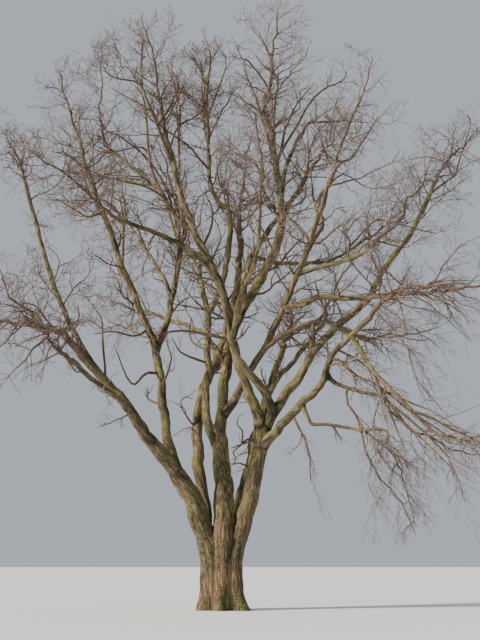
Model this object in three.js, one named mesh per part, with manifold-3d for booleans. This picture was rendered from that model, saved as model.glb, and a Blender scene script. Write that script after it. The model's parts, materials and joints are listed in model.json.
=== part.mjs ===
// A large bare winter tree: a fluted trunk that forks low into five stems, long bending boughs,
// and a crown of twigs round them. Millimetres, +Z up, origin on the ground under the trunk.
import * as THREE from "three";
import Module from "manifold-3d";

const wasm = await Module();
wasm.setup();

// Trunk: the flat cut, the flare of the roots and the crotch that the stems leave
const CROTCH_HEIGHT = 2380;
const DOME_HEIGHT = 300;
const DOME = [[0, 1], [0.45, 0.84], [0.8, 0.5]];
const TRUNK_SIDES = 36;
const TRUNK_LEVELS = [0, 80, 200, 380, 700, 1150, 1600, 2000];
const FLARE = 150;
const FLARE_HEIGHT = 1250;
const FLARE_POWER = 3;
const ROOT_LOBES = 6;
const ROOT_LOBE_DEPTH = 140;
const ROOT_TURN = 3.66;
const ROOT_LEAN = 0.45;
const LOBE_RADIUS = 300;
const LOBE_SOFTNESS = 6;
const TRUNK_COVER = 1.06;
const LOBE_THICK = 580;

// Clearances between neighbouring solids
const SEAT_GAP = 0.3;
const LIMB_GAP = 0.345;
const TWIG_CLEARANCE = 12;
const SPACE_MARGIN = 15;
const BEAD_SPACING = 160;

// Boughs: faces round a limb and the spacing of its rings
const THICK_LIMB = 300;
const THICK_SIDES = 7;
const THIN_SIDES = 5;
const RING_SPACING = 1150;

// Twigs: the rule by which a mass branches from its stem
const SEED = 4156;
const GOLDEN_ANGLE = Math.PI * (3 - Math.sqrt(5));
const STEM = { steps: 5, sides: 4, start: 0.92, tip: 0.16, kink: 0.1, reach: 0.93, least: 0.6,
  bend: 0.4 };
const SIDE = { count: 7, steps: 2, sides: 3, first: 0.16, last: 0.94, spread: 0.95, length: 0.56,
  fade: 0.42, thick: 0.5, kink: 0.22 };
const SPRAY = { count: 2, steps: 1, sides: 3, first: 0.4, last: 0.8, spread: 0.8, length: 0.5,
  fade: 0.3, thick: 0.42, kink: 0.25 };
const SHRINK = 0.82;
const FIT_TRIES = 6;
const SHORTEST_TWIG = 320;
const THINNEST_ROOT = 7;
const TWIG_TAPER = 0.5;
const UP = new THREE.Vector3(0, 0, 1);

// Limbs, each after the one that carries it. A stem has its foot inside the trunk; a bough leaves
// its parent at a place counted in the parent's own via points. via are places that the limb
// passes, ending at its tip; thick are its diameters, evenly spaced from foot to tip.
const LIMBS = [
  { name: "stem_left", foot: [-370, -100, 1450], thick: [620, 680, 500, 380, 270],
    via: [[-610, -150, 2400], [-1050, -350, 3650], [-1700, -600, 4700], [-2450, -1100, 5500],
      [-3100, -1600, 6500], [-4600, -2400, 8100]] },
  { name: "stem_centre", foot: [0, -190, 1600],
    thick: [660, 700, 650, 570, 440, 370, 350, 320, 270, 250, 230],
    via: [[50, -200, 2900], [50, 0, 4050], [-100, 100, 5250], [-80, 140, 6100], [200, 300, 8700],
      [650, 400, 10200], [1400, 0, 11350], [2100, -600, 13050], [2050, -800, 13800],
      [1850, -1200, 15400]] },
  { name: "stem_right", foot: [370, -130, 1450], thick: [580, 560, 540],
    via: [[600, -200, 2400], [1050, -500, 4200], [1350, -700, 5850]] },
  { name: "stem_back_left", foot: [-330, 330, 1600], thick: [480, 390, 340, 270],
    via: [[-550, 500, 2900], [-900, 1400, 5550], [-850, 2100, 7400], [-250, 2900, 9000],
      [350, 4000, 11350], [650, 5200, 14450]] },
  { name: "stem_back_right", foot: [330, 320, 1600], thick: [460, 350, 240],
    via: [[450, 600, 2850], [900, 1300, 4700], [1100, 2000, 5800], [1900, 4200, 8600],
      [2400, 5600, 10100]] },
  { name: "bough_left_high", from: "stem_left", at: 2.8, thick: [400, 330, 265, 205],
    via: [[-1750, -200, 5200], [-2000, 300, 6300], [-2400, 900, 8850], [-2900, 900, 10100],
      [-3800, 600, 12300], [-4450, 300, 14050]] },
  { name: "bough_left_rise", from: "stem_left", at: 5.45, thick: [205, 170, 130],
    via: [[-4350, -1950, 8050], [-5150, -2500, 9500], [-5700, -2900, 11050], [-6450, -3200, 13600]] },
  { name: "bough_left_middle", from: "bough_left_high", at: 3, thick: [255, 205],
    via: [[-2100, 1600, 10050], [-1950, 2200, 11200], [-1700, 3300, 13600]] },
  { name: "bough_left_back", from: "bough_left_middle", at: 1.95, thick: [180, 130],
    via: [[-2400, 2600, 12250], [-3400, 3800, 14000]] },
  { name: "bough_centre_left", from: "stem_centre", at: 3, thick: [350, 260, 175],
    via: [[-450, 200, 5950], [-600, 500, 6850], [-550, 1000, 8400], [-600, 1600, 10350],
      [-900, 2700, 11800], [-1100, 5400, 13300]] },
  { name: "bough_centre_rise", from: "bough_centre_left", at: 4, thick: [240, 200, 130],
    via: [[-50, 1900, 11750], [250, 1900, 14350], [-200, 1900, 14900], [-550, 2000, 15750],
      [-650, 2200, 17600]] },
  { name: "bough_centre_back", from: "stem_centre", at: 6, thick: [235, 190],
    via: [[800, 1200, 11500], [1050, 1900, 12700], [2250, 3400, 15000], [3100, 4100, 16350]] },
  { name: "bough_back_right_high", from: "bough_centre_back", at: 2, thick: [175, 125],
    via: [[2350, 2900, 12750], [4000, 4000, 13150], [5300, 4800, 14000]] },
  { name: "bough_leader_fork", from: "stem_centre", at: 9, thick: [185, 125],
    via: [[2150, -600, 14850], [2500, -300, 16050], [2800, 0, 16800]] },
  { name: "bough_cross", from: "stem_right", at: 2.95, thick: [380, 290, 260, 185],
    via: [[1150, -900, 6450], [450, -700, 8400], [200, -1100, 9750], [-100, -1300, 10750],
      [-550, -1500, 11700], [-1300, -1700, 13400], [-1800, -1900, 15300]] },
  { name: "bough_cross_fork", from: "bough_cross", at: 5.5, thick: [175, 125],
    via: [[-1550, -1400, 13000], [-2300, -900, 14350], [-3550, -300, 15600]] },
  { name: "bough_right_far", from: "stem_right", at: 2.9, thick: [400, 300, 255, 215, 150],
    via: [[1700, -900, 6350], [2550, -1200, 7500], [3100, -1200, 8400], [3800, -1100, 9250],
      [5050, -900, 10350], [5400, -800, 11100], [6700, -300, 13000], [7600, 100, 14700]] },
  { name: "bough_dark", from: "bough_right_far", at: 1.05, thick: [320, 240, 200, 125],
    via: [[1300, -1700, 7100], [800, -2100, 7700], [400, -2400, 8250], [-100, -3200, 10200],
      [-1000, -3900, 11150], [-2850, -4900, 11700]] },
  { name: "bough_front", from: "bough_dark", at: 3.2, thick: [165, 115],
    via: [[600, -3500, 9600], [1100, -4600, 10700], [1200, -5300, 11600]] },
  { name: "bough_right_cross", from: "stem_centre", at: 4.13, thick: [300, 235, 225, 175],
    via: [[550, -300, 7100], [1000, -300, 8000], [1900, -500, 9600], [2350, -900, 10650],
      [2850, -1900, 11750], [3250, -3400, 12750]] },
  { name: "bough_right_long", from: "bough_right_cross", at: 3.4, thick: [235, 160],
    via: [[2700, -1400, 10000], [3250, -2100, 10050], [4100, -2700, 9850], [5950, -3600, 9800]] },
  { name: "bough_right_fan", from: "bough_right_cross", at: 4.4, thick: [170, 120],
    via: [[3250, -1700, 11200], [4550, -2300, 11450], [5200, -2600, 11900]] },
  { name: "bough_back_right", from: "bough_right_cross", at: 2.1, thick: [205, 165],
    via: [[1550, 800, 9000], [2350, 2200, 9800], [4000, 4200, 10700], [4850, 5000, 10550]] },
  { name: "bough_back_low", from: "bough_right_far", at: 0.8, thick: [220, 175],
    via: [[1550, 0, 6950], [1850, 900, 7700], [2450, 1500, 8500], [3350, 2300, 9700]] },
  { name: "bough_back_left", from: "stem_back_left", at: 4, thick: [205, 145],
    via: [[-750, 4000, 10150], [-1600, 5200, 10850], [-2700, 6200, 11400]] },
  { name: "bough_right_low", from: "stem_right", at: 2.6, thick: [350, 255, 165],
    via: [[1600, -1000, 5550], [2000, -1500, 5950], [2950, -2600, 6800], [3250, -2900, 7100],
      [3500, -3300, 7850], [4600, -4300, 8850]] },
  { name: "bough_right_hanging", from: "bough_right_low", at: 5.55, thick: [155, 105],
    via: [[4350, -4200, 7700], [4700, -4600, 7000], [5600, -5300, 5800]] },
  { name: "bough_right_lower", from: "bough_right_low", at: 4.4, thick: [155, 105],
    via: [[3600, -2900, 7050], [4300, -2800, 6800], [5150, -2700, 6600], [5650, -2600, 6050]] },
  { name: "bough_low_hook", from: "bough_right_low", at: 2.6, thick: [150, 100],
    via: [[2750, -2450, 6050], [2900, -2500, 5800], [3350, -2700, 5750], [4350, -3300, 5500]] },
  { name: "bough_front_left", from: "stem_left", at: 3.4, thick: [220, 145],
    via: [[-2800, -1800, 6000], [-3300, -2700, 6600], [-3950, -3900, 7000],
      [-4400, -5000, 7400]] },
];

// Masses of twigs: the limb whose tip carries each one, the middle and half sizes of the space
// that it fills, and the pull on its twigs, up where positive and hanging where negative.
const MASSES = [
  { on: "stem_left", name: "twigs_left_low", middle: [-6700, -3000, 8500],
    half: [2400, 2500, 2400], pull: -0.05 },
  { on: "bough_left_rise", name: "twigs_left_far", middle: [-6700, -3500, 14200],
    half: [2100, 2500, 2500], pull: 0.04 },
  { on: "bough_left_high", name: "twigs_left_high", middle: [-5400, 300, 17000],
    half: [2100, 2400, 3200], pull: 0.07 },
  { on: "bough_left_middle", name: "twigs_left_middle", middle: [-2500, 4000, 16700],
    half: [2100, 2300, 3000], pull: 0.07 },
  { on: "bough_left_back", name: "twigs_left_back", middle: [-5100, 4900, 15800],
    half: [2400, 2500, 2700], pull: 0.05 },
  { on: "stem_back_left", name: "twigs_back_top", middle: [900, 6000, 17400],
    half: [2300, 2400, 3000], pull: 0.08 },
  { on: "stem_centre", name: "twigs_crown_top", middle: [1900, -1500, 18500],
    half: [2400, 2300, 2900], pull: 0.1 },
  { on: "bough_centre_left", name: "twigs_back", middle: [-1700, 7100, 14400],
    half: [2400, 2100, 2600], pull: 0.05 },
  { on: "bough_centre_rise", name: "twigs_centre_top", middle: [-900, 2000, 19300],
    half: [2300, 2300, 2100], pull: 0.1 },
  { on: "bough_centre_back", name: "twigs_right_top_back", middle: [3900, 4500, 18000],
    half: [2200, 2500, 2400], pull: 0.08 },
  { on: "bough_leader_fork", name: "twigs_right_top", middle: [4000, 300, 17100],
    half: [2000, 2200, 2100], pull: 0.06 },
  { on: "bough_cross", name: "twigs_left_top", middle: [-2400, -2100, 18000],
    half: [2100, 2300, 2600], pull: 0.1 },
  { on: "bough_cross_fork", name: "twigs_left_top_fork", middle: [-4000, -900, 18000],
    half: [2000, 2200, 2400], pull: 0.07 },
  { on: "bough_right_far", name: "twigs_right_far", middle: [8400, 300, 15800],
    half: [2100, 2600, 2200], pull: 0.05 },
  { on: "bough_dark", name: "twigs_front_left", middle: [-4300, -5600, 12700],
    half: [2500, 2400, 2500], pull: 0.05 },
  { on: "bough_front", name: "twigs_front", middle: [1200, -6200, 13000],
    half: [2400, 1900, 2500], pull: 0.05 },
  { on: "bough_right_cross", name: "twigs_front_right_high", middle: [4100, -4300, 15200],
    half: [2400, 2400, 2600], pull: 0.05 },
  { on: "bough_right_long", name: "twigs_right_long", middle: [7400, -4200, 9900],
    half: [2300, 2500, 3000], pull: -0.2 },
  { on: "bough_right_fan", name: "twigs_right_fan", middle: [6300, -2400, 13700],
    half: [2200, 2200, 2600], pull: 0.05 },
  { on: "bough_back_right", name: "twigs_back_right", middle: [6800, 5600, 10800],
    half: [2500, 2700, 2600], pull: -0.05 },
  { on: "bough_back_right_high", name: "twigs_back_right_high", middle: [6700, 4700, 15400],
    half: [2400, 2600, 2400], pull: 0.05 },
  { on: "bough_right_low", name: "twigs_front_right", middle: [5600, -6200, 8900],
    half: [2300, 2200, 2400], pull: -0.1 },
  { on: "bough_right_hanging", name: "twigs_right_hanging", middle: [7000, -5900, 5200],
    half: [2100, 2100, 2000], pull: -0.25 },
  { on: "bough_right_lower", name: "twigs_right_lower", middle: [7300, -2200, 5500],
    half: [2200, 1900, 2300], pull: -0.25 },
  { on: "bough_low_hook", name: "twigs_low_hook", middle: [5100, -3500, 3900],
    half: [1500, 1600, 1900], pull: -0.3 },
  { on: "bough_back_low", name: "twigs_right_inner", middle: [4500, 2000, 11800],
    half: [2200, 2100, 2400], pull: 0.05 },
  { on: "stem_back_right", name: "twigs_back_middle", middle: [2800, 7600, 11800],
    half: [2600, 2100, 2600], pull: 0.05 },
  { on: "bough_back_left", name: "twigs_back_left", middle: [-4300, 7000, 12000],
    half: [2600, 2300, 2500], pull: 0 },
  { on: "bough_front_left", name: "twigs_front_low_left", middle: [-5300, -6400, 8500],
    half: [2200, 2100, 2200], pull: -0.05 },
];

const vector = ([x, y, z]) => new THREE.Vector3(x, y, z);
const mix = THREE.MathUtils.lerp;

// A repeatable stream of numbers from 0 to 1
function stream(seed) {
  let state = seed >>> 0;
  return () => {
    state = (state + 0x6d2b79f5) >>> 0;
    let n = Math.imul(state ^ (state >>> 15), state | 1);
    n ^= n + Math.imul(n ^ (n >>> 7), n | 61);
    return ((n ^ (n >>> 14)) >>> 0) / 4294967296;
  };
}

// A value read along an evenly spaced list
function along(list, t) {
  const place = t * (list.length - 1);
  const i = Math.min(Math.floor(place), list.length - 2);
  return mix(list[i], list[i + 1], place - i);
}

// A closed body through rings of points; a ring of one point is a tip
function loft(rings) {
  const positions = [];
  const starts = rings.map((ring) => {
    const start = positions.length / 3;
    ring.forEach((p) => positions.push(p.x, p.y, p.z));
    return start;
  });
  const faces = [];
  const count = rings[0].length;
  for (let i = 1; i < count - 1; i++) faces.push(0, i + 1, i);
  for (let r = 0; r < rings.length - 1; r++) {
    const low = starts[r];
    const high = starts[r + 1];
    for (let i = 0; i < count; i++) {
      const j = (i + 1) % count;
      if (rings[r + 1].length === 1) {
        faces.push(low + i, low + j, high);
      } else {
        faces.push(low + i, low + j, high + j, low + i, high + j, high + i);
      }
    }
  }
  const last = starts[starts.length - 1];
  if (rings[rings.length - 1].length > 1) {
    for (let i = 1; i < count - 1; i++) faces.push(last, last + i, last + i + 1);
  }
  return new wasm.Manifold(new wasm.Mesh({
    numProp: 3, vertProperties: new Float32Array(positions), triVerts: new Uint32Array(faces),
  }));
}

// Rings square to a path, carried along it without twist
function ringsAlong(path, radii, sides) {
  let across = new THREE.Vector3();
  return path.map((centre, i) => {
    const before = path[Math.max(i - 1, 0)];
    const after = path[Math.min(i + 1, path.length - 1)];
    const heading = after.clone().sub(before).normalize();
    if (i === 0) across = sideways(heading);
    across.addScaledVector(heading, -across.dot(heading)).normalize();
    const other = heading.clone().cross(across);
    if (radii[i] === 0) return [centre];
    return Array.from({ length: sides }, (_, k) => {
      const angle = (2 * Math.PI * k) / sides;
      return centre.clone().addScaledVector(across, Math.cos(angle) * radii[i])
        .addScaledVector(other, Math.sin(angle) * radii[i]);
    });
  });
}

// A level direction square to a heading
function sideways(heading) {
  const flat = Math.abs(heading.z) < 0.95 ? UP : new THREE.Vector3(1, 0, 0);
  return heading.clone().cross(flat).normalize();
}

// The largest body of a solid, without the scraps that a cut leaves
function largest(solid) {
  const bodies = solid.decompose();
  return bodies.reduce((a, b) => (b.volume() > a.volume() ? b : a));
}

// Limbs: each one's curve, its radius along the way and its rings
const limbs = new Map();
for (const data of LIMBS) {
  const parent = limbs.get(data.from);
  const foot = parent ? parent.curve.getPoint(data.at / parent.spans) : vector(data.foot);
  const curve = new THREE.CatmullRomCurve3([foot, ...data.via.map(vector)], false, "catmullrom");
  const steps = Math.ceil(curve.getLength() / RING_SPACING) + 1;
  const places = Array.from({ length: steps + 1 }, (_, i) => i / steps);
  limbs.set(data.name, {
    ...data, curve, places, spans: data.via.length,
    radius: (t) => along(data.thick, t) / 2,
    sides: data.thick[0] > THICK_LIMB ? THICK_SIDES : THIN_SIDES,
    path: places.map((t) => curve.getPoint(t)),
  });
}

function limbSolid(limb, extra) {
  const radii = limb.places.map((t) => limb.radius(t) + extra);
  const path = [...limb.path];
  const last = path.length - 1;
  path[0] = beyond(path[1], path[0], extra);
  path[last] = beyond(path[last - 1], path[last], extra);
  return loft(ringsAlong(path, radii, limb.sides));
}

// A point a little past the end of a line
function beyond(from, end, extra) {
  const heading = end.clone().sub(from).normalize();
  return end.clone().addScaledVector(heading, extra);
}

// Trunk: its outline at a height holds every stem, softly joined
function lobes(height) {
  return [...limbs.values()].filter((limb) => limb.foot).map((limb) => {
    const foot = vector(limb.foot);
    const first = vector(limb.via[0]);
    const t = (height - foot.z) / (first.z - foot.z);
    const centre = foot.clone().lerp(first, Math.max(t, 0));
    const radius = t > 0 ? limb.radius(t / limb.spans) : LOBE_RADIUS * (limb.thick[0] / LOBE_THICK);
    return { x: centre.x, y: centre.y, radius };
  });
}

function trunkRadius(angle, height) {
  const x = Math.cos(angle);
  const y = Math.sin(angle);
  let sum = 0;
  for (const lobe of lobes(height)) {
    const out = lobe.x * x + lobe.y * y;
    const off = lobe.x * y - lobe.y * x;
    const half = Math.sqrt(Math.max(lobe.radius ** 2 - off ** 2, 0));
    sum += Math.max(out + half, 0) ** LOBE_SOFTNESS;
  }
  const flare = Math.max(1 - height / FLARE_HEIGHT, 0) ** FLARE_POWER;
  const toes = FLARE + ROOT_LOBE_DEPTH * Math.cos(angle * ROOT_LOBES + ROOT_TURN);
  const roots = toes * (1 + ROOT_LEAN * x);
  return sum ** (1 / LOBE_SOFTNESS) * TRUNK_COVER + flare * roots;
}

function trunkRing(height, scale, extra) {
  return Array.from({ length: TRUNK_SIDES }, (_, k) => {
    const angle = (2 * Math.PI * k) / TRUNK_SIDES;
    const radius = trunkRadius(angle, Math.min(height, CROTCH_HEIGHT)) * scale + extra;
    return new THREE.Vector3(radius * Math.cos(angle), radius * Math.sin(angle), height);
  });
}

// The trunk, with a low dome between its stems
function trunkSolid(extra) {
  const rings = TRUNK_LEVELS.map((height) => trunkRing(height, 1, extra));
  for (const [rise, scale] of DOME) {
    rings.push(trunkRing(CROTCH_HEIGHT + rise * DOME_HEIGHT, scale, extra));
  }
  rings.push([new THREE.Vector3(0, 0, CROTCH_HEIGHT + DOME_HEIGHT + extra)]);
  return loft(rings);
}

// Masses: the way from the bough's tip through the middle of the space to its far side
function stemPath(mass, rand) {
  const limb = limbs.get(mass.on);
  const tip = limb.path[limb.path.length - 1];
  const heading = tip.clone().sub(limb.path[limb.path.length - 2]).normalize();
  const start = beyond(limb.path[limb.path.length - 2], tip, SEAT_GAP);
  const middle = vector(mass.middle);
  const half = vector(mass.half);
  const onward = middle.clone().sub(start);
  const scaled = onward.clone().divide(half).length();
  const end = middle.clone().addScaledVector(onward, STEM.reach / Math.max(scaled, STEM.least));
  const bend = start.clone().addScaledVector(heading, start.distanceTo(end) * STEM.bend);
  const curve = new THREE.QuadraticBezierCurve3(start, bend, end);
  const path = curve.getPoints(STEM.steps);
  const length = curve.getLength();
  for (let i = 2; i < STEM.steps; i++) {
    path[i].addScaledVector(chance(rand), (STEM.kink * length) / STEM.steps);
  }
  path[1].copy(start).addScaledVector(heading, length / STEM.steps);
  return path;
}

function chance(rand) {
  return new THREE.Vector3(rand() - 0.5, rand() - 0.5, rand() - 0.5).multiplyScalar(2);
}

const masses = MASSES.map((data, i) => {
  const rand = stream(SEED + i * 101);
  const limb = limbs.get(data.on);
  const path = stemPath(data, rand);
  const thick = limb.radius(1) * STEM.start;
  return { ...data, limb, rand, path, middle: vector(data.middle), half: vector(data.half),
    radii: path.map((_, k) => thick * mix(1, STEM.tip, k / STEM.steps)) };
});

// What twigs must not touch: every limb and every mass's stem, as beads
function beadsOf(path, radii, owner) {
  const beads = [];
  for (let i = 0; i < path.length - 1; i++) {
    const pieces = Math.ceil(path[i].distanceTo(path[i + 1]) / BEAD_SPACING);
    for (let k = 0; k <= pieces; k++) {
      const t = k / pieces;
      const at = path[i].clone().lerp(path[i + 1], t);
      beads.push({ at, r: mix(radii[i], radii[i + 1], t), owner });
    }
  }
  return beads;
}

const beads = [];
for (const limb of limbs.values()) {
  beads.push(...beadsOf(limb.path, limb.places.map(limb.radius), limb.name));
}
masses.forEach((mass) => beads.push(...beadsOf(mass.path, mass.radii, mass.name)));

// The cell of a mass ends where another mass's middle is nearer for its size
function nearness(point, mass) {
  const size = (mass.half.x + mass.half.y + mass.half.z) / 3;
  return point.distanceToSquared(mass.middle) - size * size;
}

function inSpace(point, mass, radius) {
  const away = point.clone().sub(mass.middle).divide(mass.half).length();
  if (away > 1) return false;
  const own = nearness(point, mass);
  const keep = 2 * (radius + SPACE_MARGIN);
  return masses.every((other) => other === mass
    || own + keep * mass.middle.distanceTo(other.middle) < nearness(point, other));
}

function touches(point, radius, mass) {
  return beads.some((bead) => bead.owner !== mass.name
    && bead.at.distanceTo(point) < bead.r + radius + TWIG_CLEARANCE);
}

// A twig's path: a few steps, each turned by chance and by the pull of light or weight
function twigPath(root, heading, length, rule, pull, rand) {
  const path = [root.clone()];
  const way = heading.clone();
  for (let i = 0; i < rule.steps; i++) {
    way.addScaledVector(chance(rand), rule.kink).addScaledVector(UP, pull).normalize();
    path.push(path[i].clone().addScaledVector(way, length / rule.steps));
  }
  return path;
}

function fits(path, radius, mass) {
  for (let i = 1; i < path.length; i++) {
    const half = path[i].clone().lerp(path[i - 1], 0.5);
    if (!inSpace(path[i], mass, radius) || touches(path[i], radius, mass)) return false;
    if (touches(half, radius, mass)) return false;
  }
  return inSpace(path[0], mass, radius);
}

// Side twigs at the golden angle round a parent twig, shorter towards its tip
function branch(parent, rule, mass, full) {
  const twigs = [];
  let turn = mass.rand() * 2 * Math.PI;
  for (let k = 0; k < rule.count; k++) {
    turn += GOLDEN_ANGLE;
    const t = mix(rule.first, rule.last, k / (rule.count - 1));
    const place = t * (parent.path.length - 1);
    const i = Math.min(Math.floor(place), parent.path.length - 2);
    const root = parent.path[i].clone().lerp(parent.path[i + 1], place - i);
    const onward = parent.path[i + 1].clone().sub(parent.path[i]).normalize();
    const side = sideways(onward).applyAxisAngle(onward, turn);
    const heading = onward.clone().multiplyScalar(Math.cos(rule.spread))
      .addScaledVector(side, Math.sin(rule.spread));
    const thick = Math.max(mix(parent.radii[i], parent.radii[i + 1], place - i) * rule.thick,
      THINNEST_ROOT);
    let length = full * rule.length * (1 - rule.fade * t);
    for (let tries = 0; tries < FIT_TRIES && length > SHORTEST_TWIG; tries++) {
      const path = twigPath(root, heading, length, rule, mass.pull, mass.rand);
      if (fits(path, thick, mass)) {
        const radii = path.map((_, n) => thick * (1 - (TWIG_TAPER * n) / rule.steps));
        radii[rule.steps] = 0;
        twigs.push({ path, radii, length });
        break;
      }
      length *= SHRINK;
    }
  }
  return twigs;
}

function massSolid(mass) {
  const stem = { path: mass.path, radii: mass.radii };
  const full = mass.path[0].distanceTo(mass.path[STEM.steps]);
  let solid = loft(ringsAlong(stem.path, stem.radii, STEM.sides));
  for (const side of branch(stem, SIDE, mass, full)) {
    solid = solid.add(loft(ringsAlong(side.path, side.radii, SIDE.sides)));
    for (const spray of branch(side, SPRAY, mass, side.length)) {
      solid = solid.add(loft(ringsAlong(spray.path, spray.radii, SPRAY.sides)));
    }
  }
  return largest(solid);
}

// The named meshes
const MATERIALS = {
  trunk: { color: 0x77654c, roughness: 0.95 },
  bough: { color: 0x6f6650, roughness: 0.9 },
  twigs: { color: 0x75655b, roughness: 0.85 },
};

function mesh(name, kind, solid) {
  const { vertProperties, triVerts } = solid.getMesh();
  const geometry = new THREE.BufferGeometry();
  geometry.setAttribute("position", new THREE.BufferAttribute(vertProperties.slice(), 3));
  geometry.setIndex(new THREE.BufferAttribute(triVerts.slice(), 1));
  geometry.computeVertexNormals();
  const material = new THREE.MeshStandardMaterial({ ...MATERIALS[kind], metalness: 0 });
  const named = new THREE.Mesh(geometry, material);
  named.name = name;
  return named;
}

const tree = new THREE.Group();
tree.add(mesh("trunk", "trunk", trunkSolid(0)));

// Each limb gives way to the trunk and to the limbs before it
const grown = [trunkSolid(SEAT_GAP)];
for (const limb of limbs.values()) {
  const whole = limbSolid(limb, 0);
  const cut = grown.reduce((solid, other) => solid.subtract(other), whole);
  tree.add(mesh(limb.name, "bough", largest(cut)));
  grown.push(limbSolid(limb, LIMB_GAP));
}
for (const mass of masses) tree.add(mesh(mass.name, "twigs", massSolid(mass)));

export default tree;
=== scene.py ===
# A large bare winter tree in its photograph's view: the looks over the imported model.
# Metres, +Z up, origin on the ground under the trunk.
import itertools
import json
import math

import bmesh
import bpy
import numpy as np
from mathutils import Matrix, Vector

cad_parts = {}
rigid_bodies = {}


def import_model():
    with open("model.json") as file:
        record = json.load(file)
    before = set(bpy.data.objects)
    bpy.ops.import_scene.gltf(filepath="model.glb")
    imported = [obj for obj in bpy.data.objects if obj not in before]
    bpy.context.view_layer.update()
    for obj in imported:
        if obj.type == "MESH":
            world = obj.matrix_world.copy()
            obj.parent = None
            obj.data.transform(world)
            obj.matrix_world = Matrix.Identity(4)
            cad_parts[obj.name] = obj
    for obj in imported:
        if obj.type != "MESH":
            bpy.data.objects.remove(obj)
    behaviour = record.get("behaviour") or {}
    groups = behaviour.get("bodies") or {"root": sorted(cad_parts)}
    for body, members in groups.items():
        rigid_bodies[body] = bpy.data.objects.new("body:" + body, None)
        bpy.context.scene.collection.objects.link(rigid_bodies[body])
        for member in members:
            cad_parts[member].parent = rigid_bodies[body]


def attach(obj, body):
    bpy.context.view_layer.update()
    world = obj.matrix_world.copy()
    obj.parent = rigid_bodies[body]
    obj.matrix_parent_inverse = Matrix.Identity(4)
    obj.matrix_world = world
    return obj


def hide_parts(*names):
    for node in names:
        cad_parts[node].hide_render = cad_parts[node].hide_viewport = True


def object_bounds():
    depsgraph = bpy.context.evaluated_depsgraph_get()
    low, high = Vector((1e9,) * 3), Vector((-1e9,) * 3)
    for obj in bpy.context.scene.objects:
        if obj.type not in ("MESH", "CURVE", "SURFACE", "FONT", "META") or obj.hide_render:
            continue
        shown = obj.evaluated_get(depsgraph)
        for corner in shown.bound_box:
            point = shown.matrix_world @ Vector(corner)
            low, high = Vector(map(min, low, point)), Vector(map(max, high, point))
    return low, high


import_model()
CAD_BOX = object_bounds()

# Camera: at eye height, tipped up
EYE = (0.6, -34.0, 1.6)
LENS = 56
PITCH = 13.55
LIGHT_HEADING = (0.87, 0.36, -0.42)

# Trunk, as in the source of the solids
CROTCH_HEIGHT = 2.38
DOME_HEIGHT = 0.3
DOME = ((0, 1), (0.45, 0.84), (0.8, 0.5))
FLARE = 0.15
FLARE_HEIGHT = 1.25
FLARE_POWER = 3
ROOT_LOBES = 6
ROOT_LOBE_DEPTH = 0.14
ROOT_TURN = 3.66
ROOT_LEAN = 0.45
LOBE_RADIUS = 0.3
LOBE_THICK = 0.58
LOBE_SOFTNESS = 6
TRUNK_COVER = 1.06
LENGTH_STEPS = 200

# The rule by which a mass branches, as in the source of the solids
SEAT_GAP = 0.0003
TWIG_CLEARANCE = 0.012
SPACE_MARGIN = 0.015
BEAD_SPACING = 0.16
RING_SPACING = 1.15
SEED = 4156
SEED_STEP = 101
GOLDEN_ANGLE = math.pi * (3 - math.sqrt(5))
STEM = dict(steps=5, start=0.92, tip=0.16, kink=0.1, reach=0.93, least=0.6, bend=0.4)
SIDE = dict(count=7, steps=2, first=0.16, last=0.94, spread=0.95, length=0.56, fade=0.42,
            thick=0.5, kink=0.22)
SPRAY = dict(count=2, steps=1, first=0.4, last=0.8, spread=0.8, length=0.5, fade=0.3,
             thick=0.42, kink=0.25)
SHRINK = 0.82
FIT_TRIES = 6
SHORTEST_TWIG = 0.32
THINNEST_ROOT = 0.007
TWIG_TAPER = 0.5
UP = np.array([0.0, 0.0, 1.0])

# Bark relief: furrows between plates, with a rougher grain over them, and lumps. Each size of lump
# has its scale, seed and depth. Furrows are shallower on limbs thinner than the full radius.
GROOVE_SCALE = 10.0
GROOVE_STRETCH = 0.16
GROOVE_DEPTH = 0.024
GROOVE_LEVEL = 0.75
PLATE_GAIN = 2.6
PLATE_POWER = 0.7
ROUGH_SCALE = 1.8
ROUGH_SHARE = 0.35
LUMPS = ((1.3, 3, 0.11), (3.1, 4, 0.05))
FULL_RADIUS = 0.42
LEAST_DEPTH = 0.12
DEPTH_POWER = 0.85
SEAM_WIDTH = 0.09
SEAM_HEIGHT = 0.35
# Towards the ground the seams between the stems, painted dark as shade, fade into the trunk
SEAM_FADES = 0.9
SEAM_RELIEF = 0.55

# The lower skin, one smooth body through the crotches, and the tubes that go on from it
SKIN_TOP = 8.0
SKIN_LEAST = 0.2
SKIN_REACH = 1
SKIN_LAP = 6
SKIN_TAPER = 0.8
SKIN_VOXEL = 0.035
SKIN_SMOOTH = 3
SKIN_COVER = 0.96
SKIN_NARROWS = 0.9
SKIN_SIDES = 20
TUBE_SIDES = (9, 22)
TRUNK_SIDES = 120
TRUNK_STEP = 0.06
BELOW_GROUND = 0.12
LINE_STEP = 0.05
BARK_STEP = 0.055
COLLAR = dict(most=0.32, least=-0.1, share=0.94, start=0.9, fade=1.2)
# Limbs wander a little about their smooth lines, but not at their ends. Each wave has its scale,
# seed and share.
CROOK = 0.5
MOST_CROOK = 0.07
CROOK_LENGTH = 0.8
CROOK_WAVES = ((1, 10, 1), (2.3, 20, 0.5))
LIMB_HELD = 0.8

# Finer growth than the solids carry: how many shoots each order bears, and their form
RNG = np.random.default_rng(SEED)
SECTOR_COUNT = 5
BARE_BELOW = 5.5
BARE_FADE = 8.0
LONGEST_PARENT = 2.6
WEEPS_RIGHT = 2.5
WEEPS_BELOW = 10.5
KINK_SHARE = 0.6
PLACE_LUCK = 0.45
SPREAD_LUCK = (0.75, 1.2)
LENGTH_LUCK = (0.65, 1.25)
SPACE_SCALES = (1, 0.7, 0.45)
SPACE_OVER = 1.04
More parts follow.
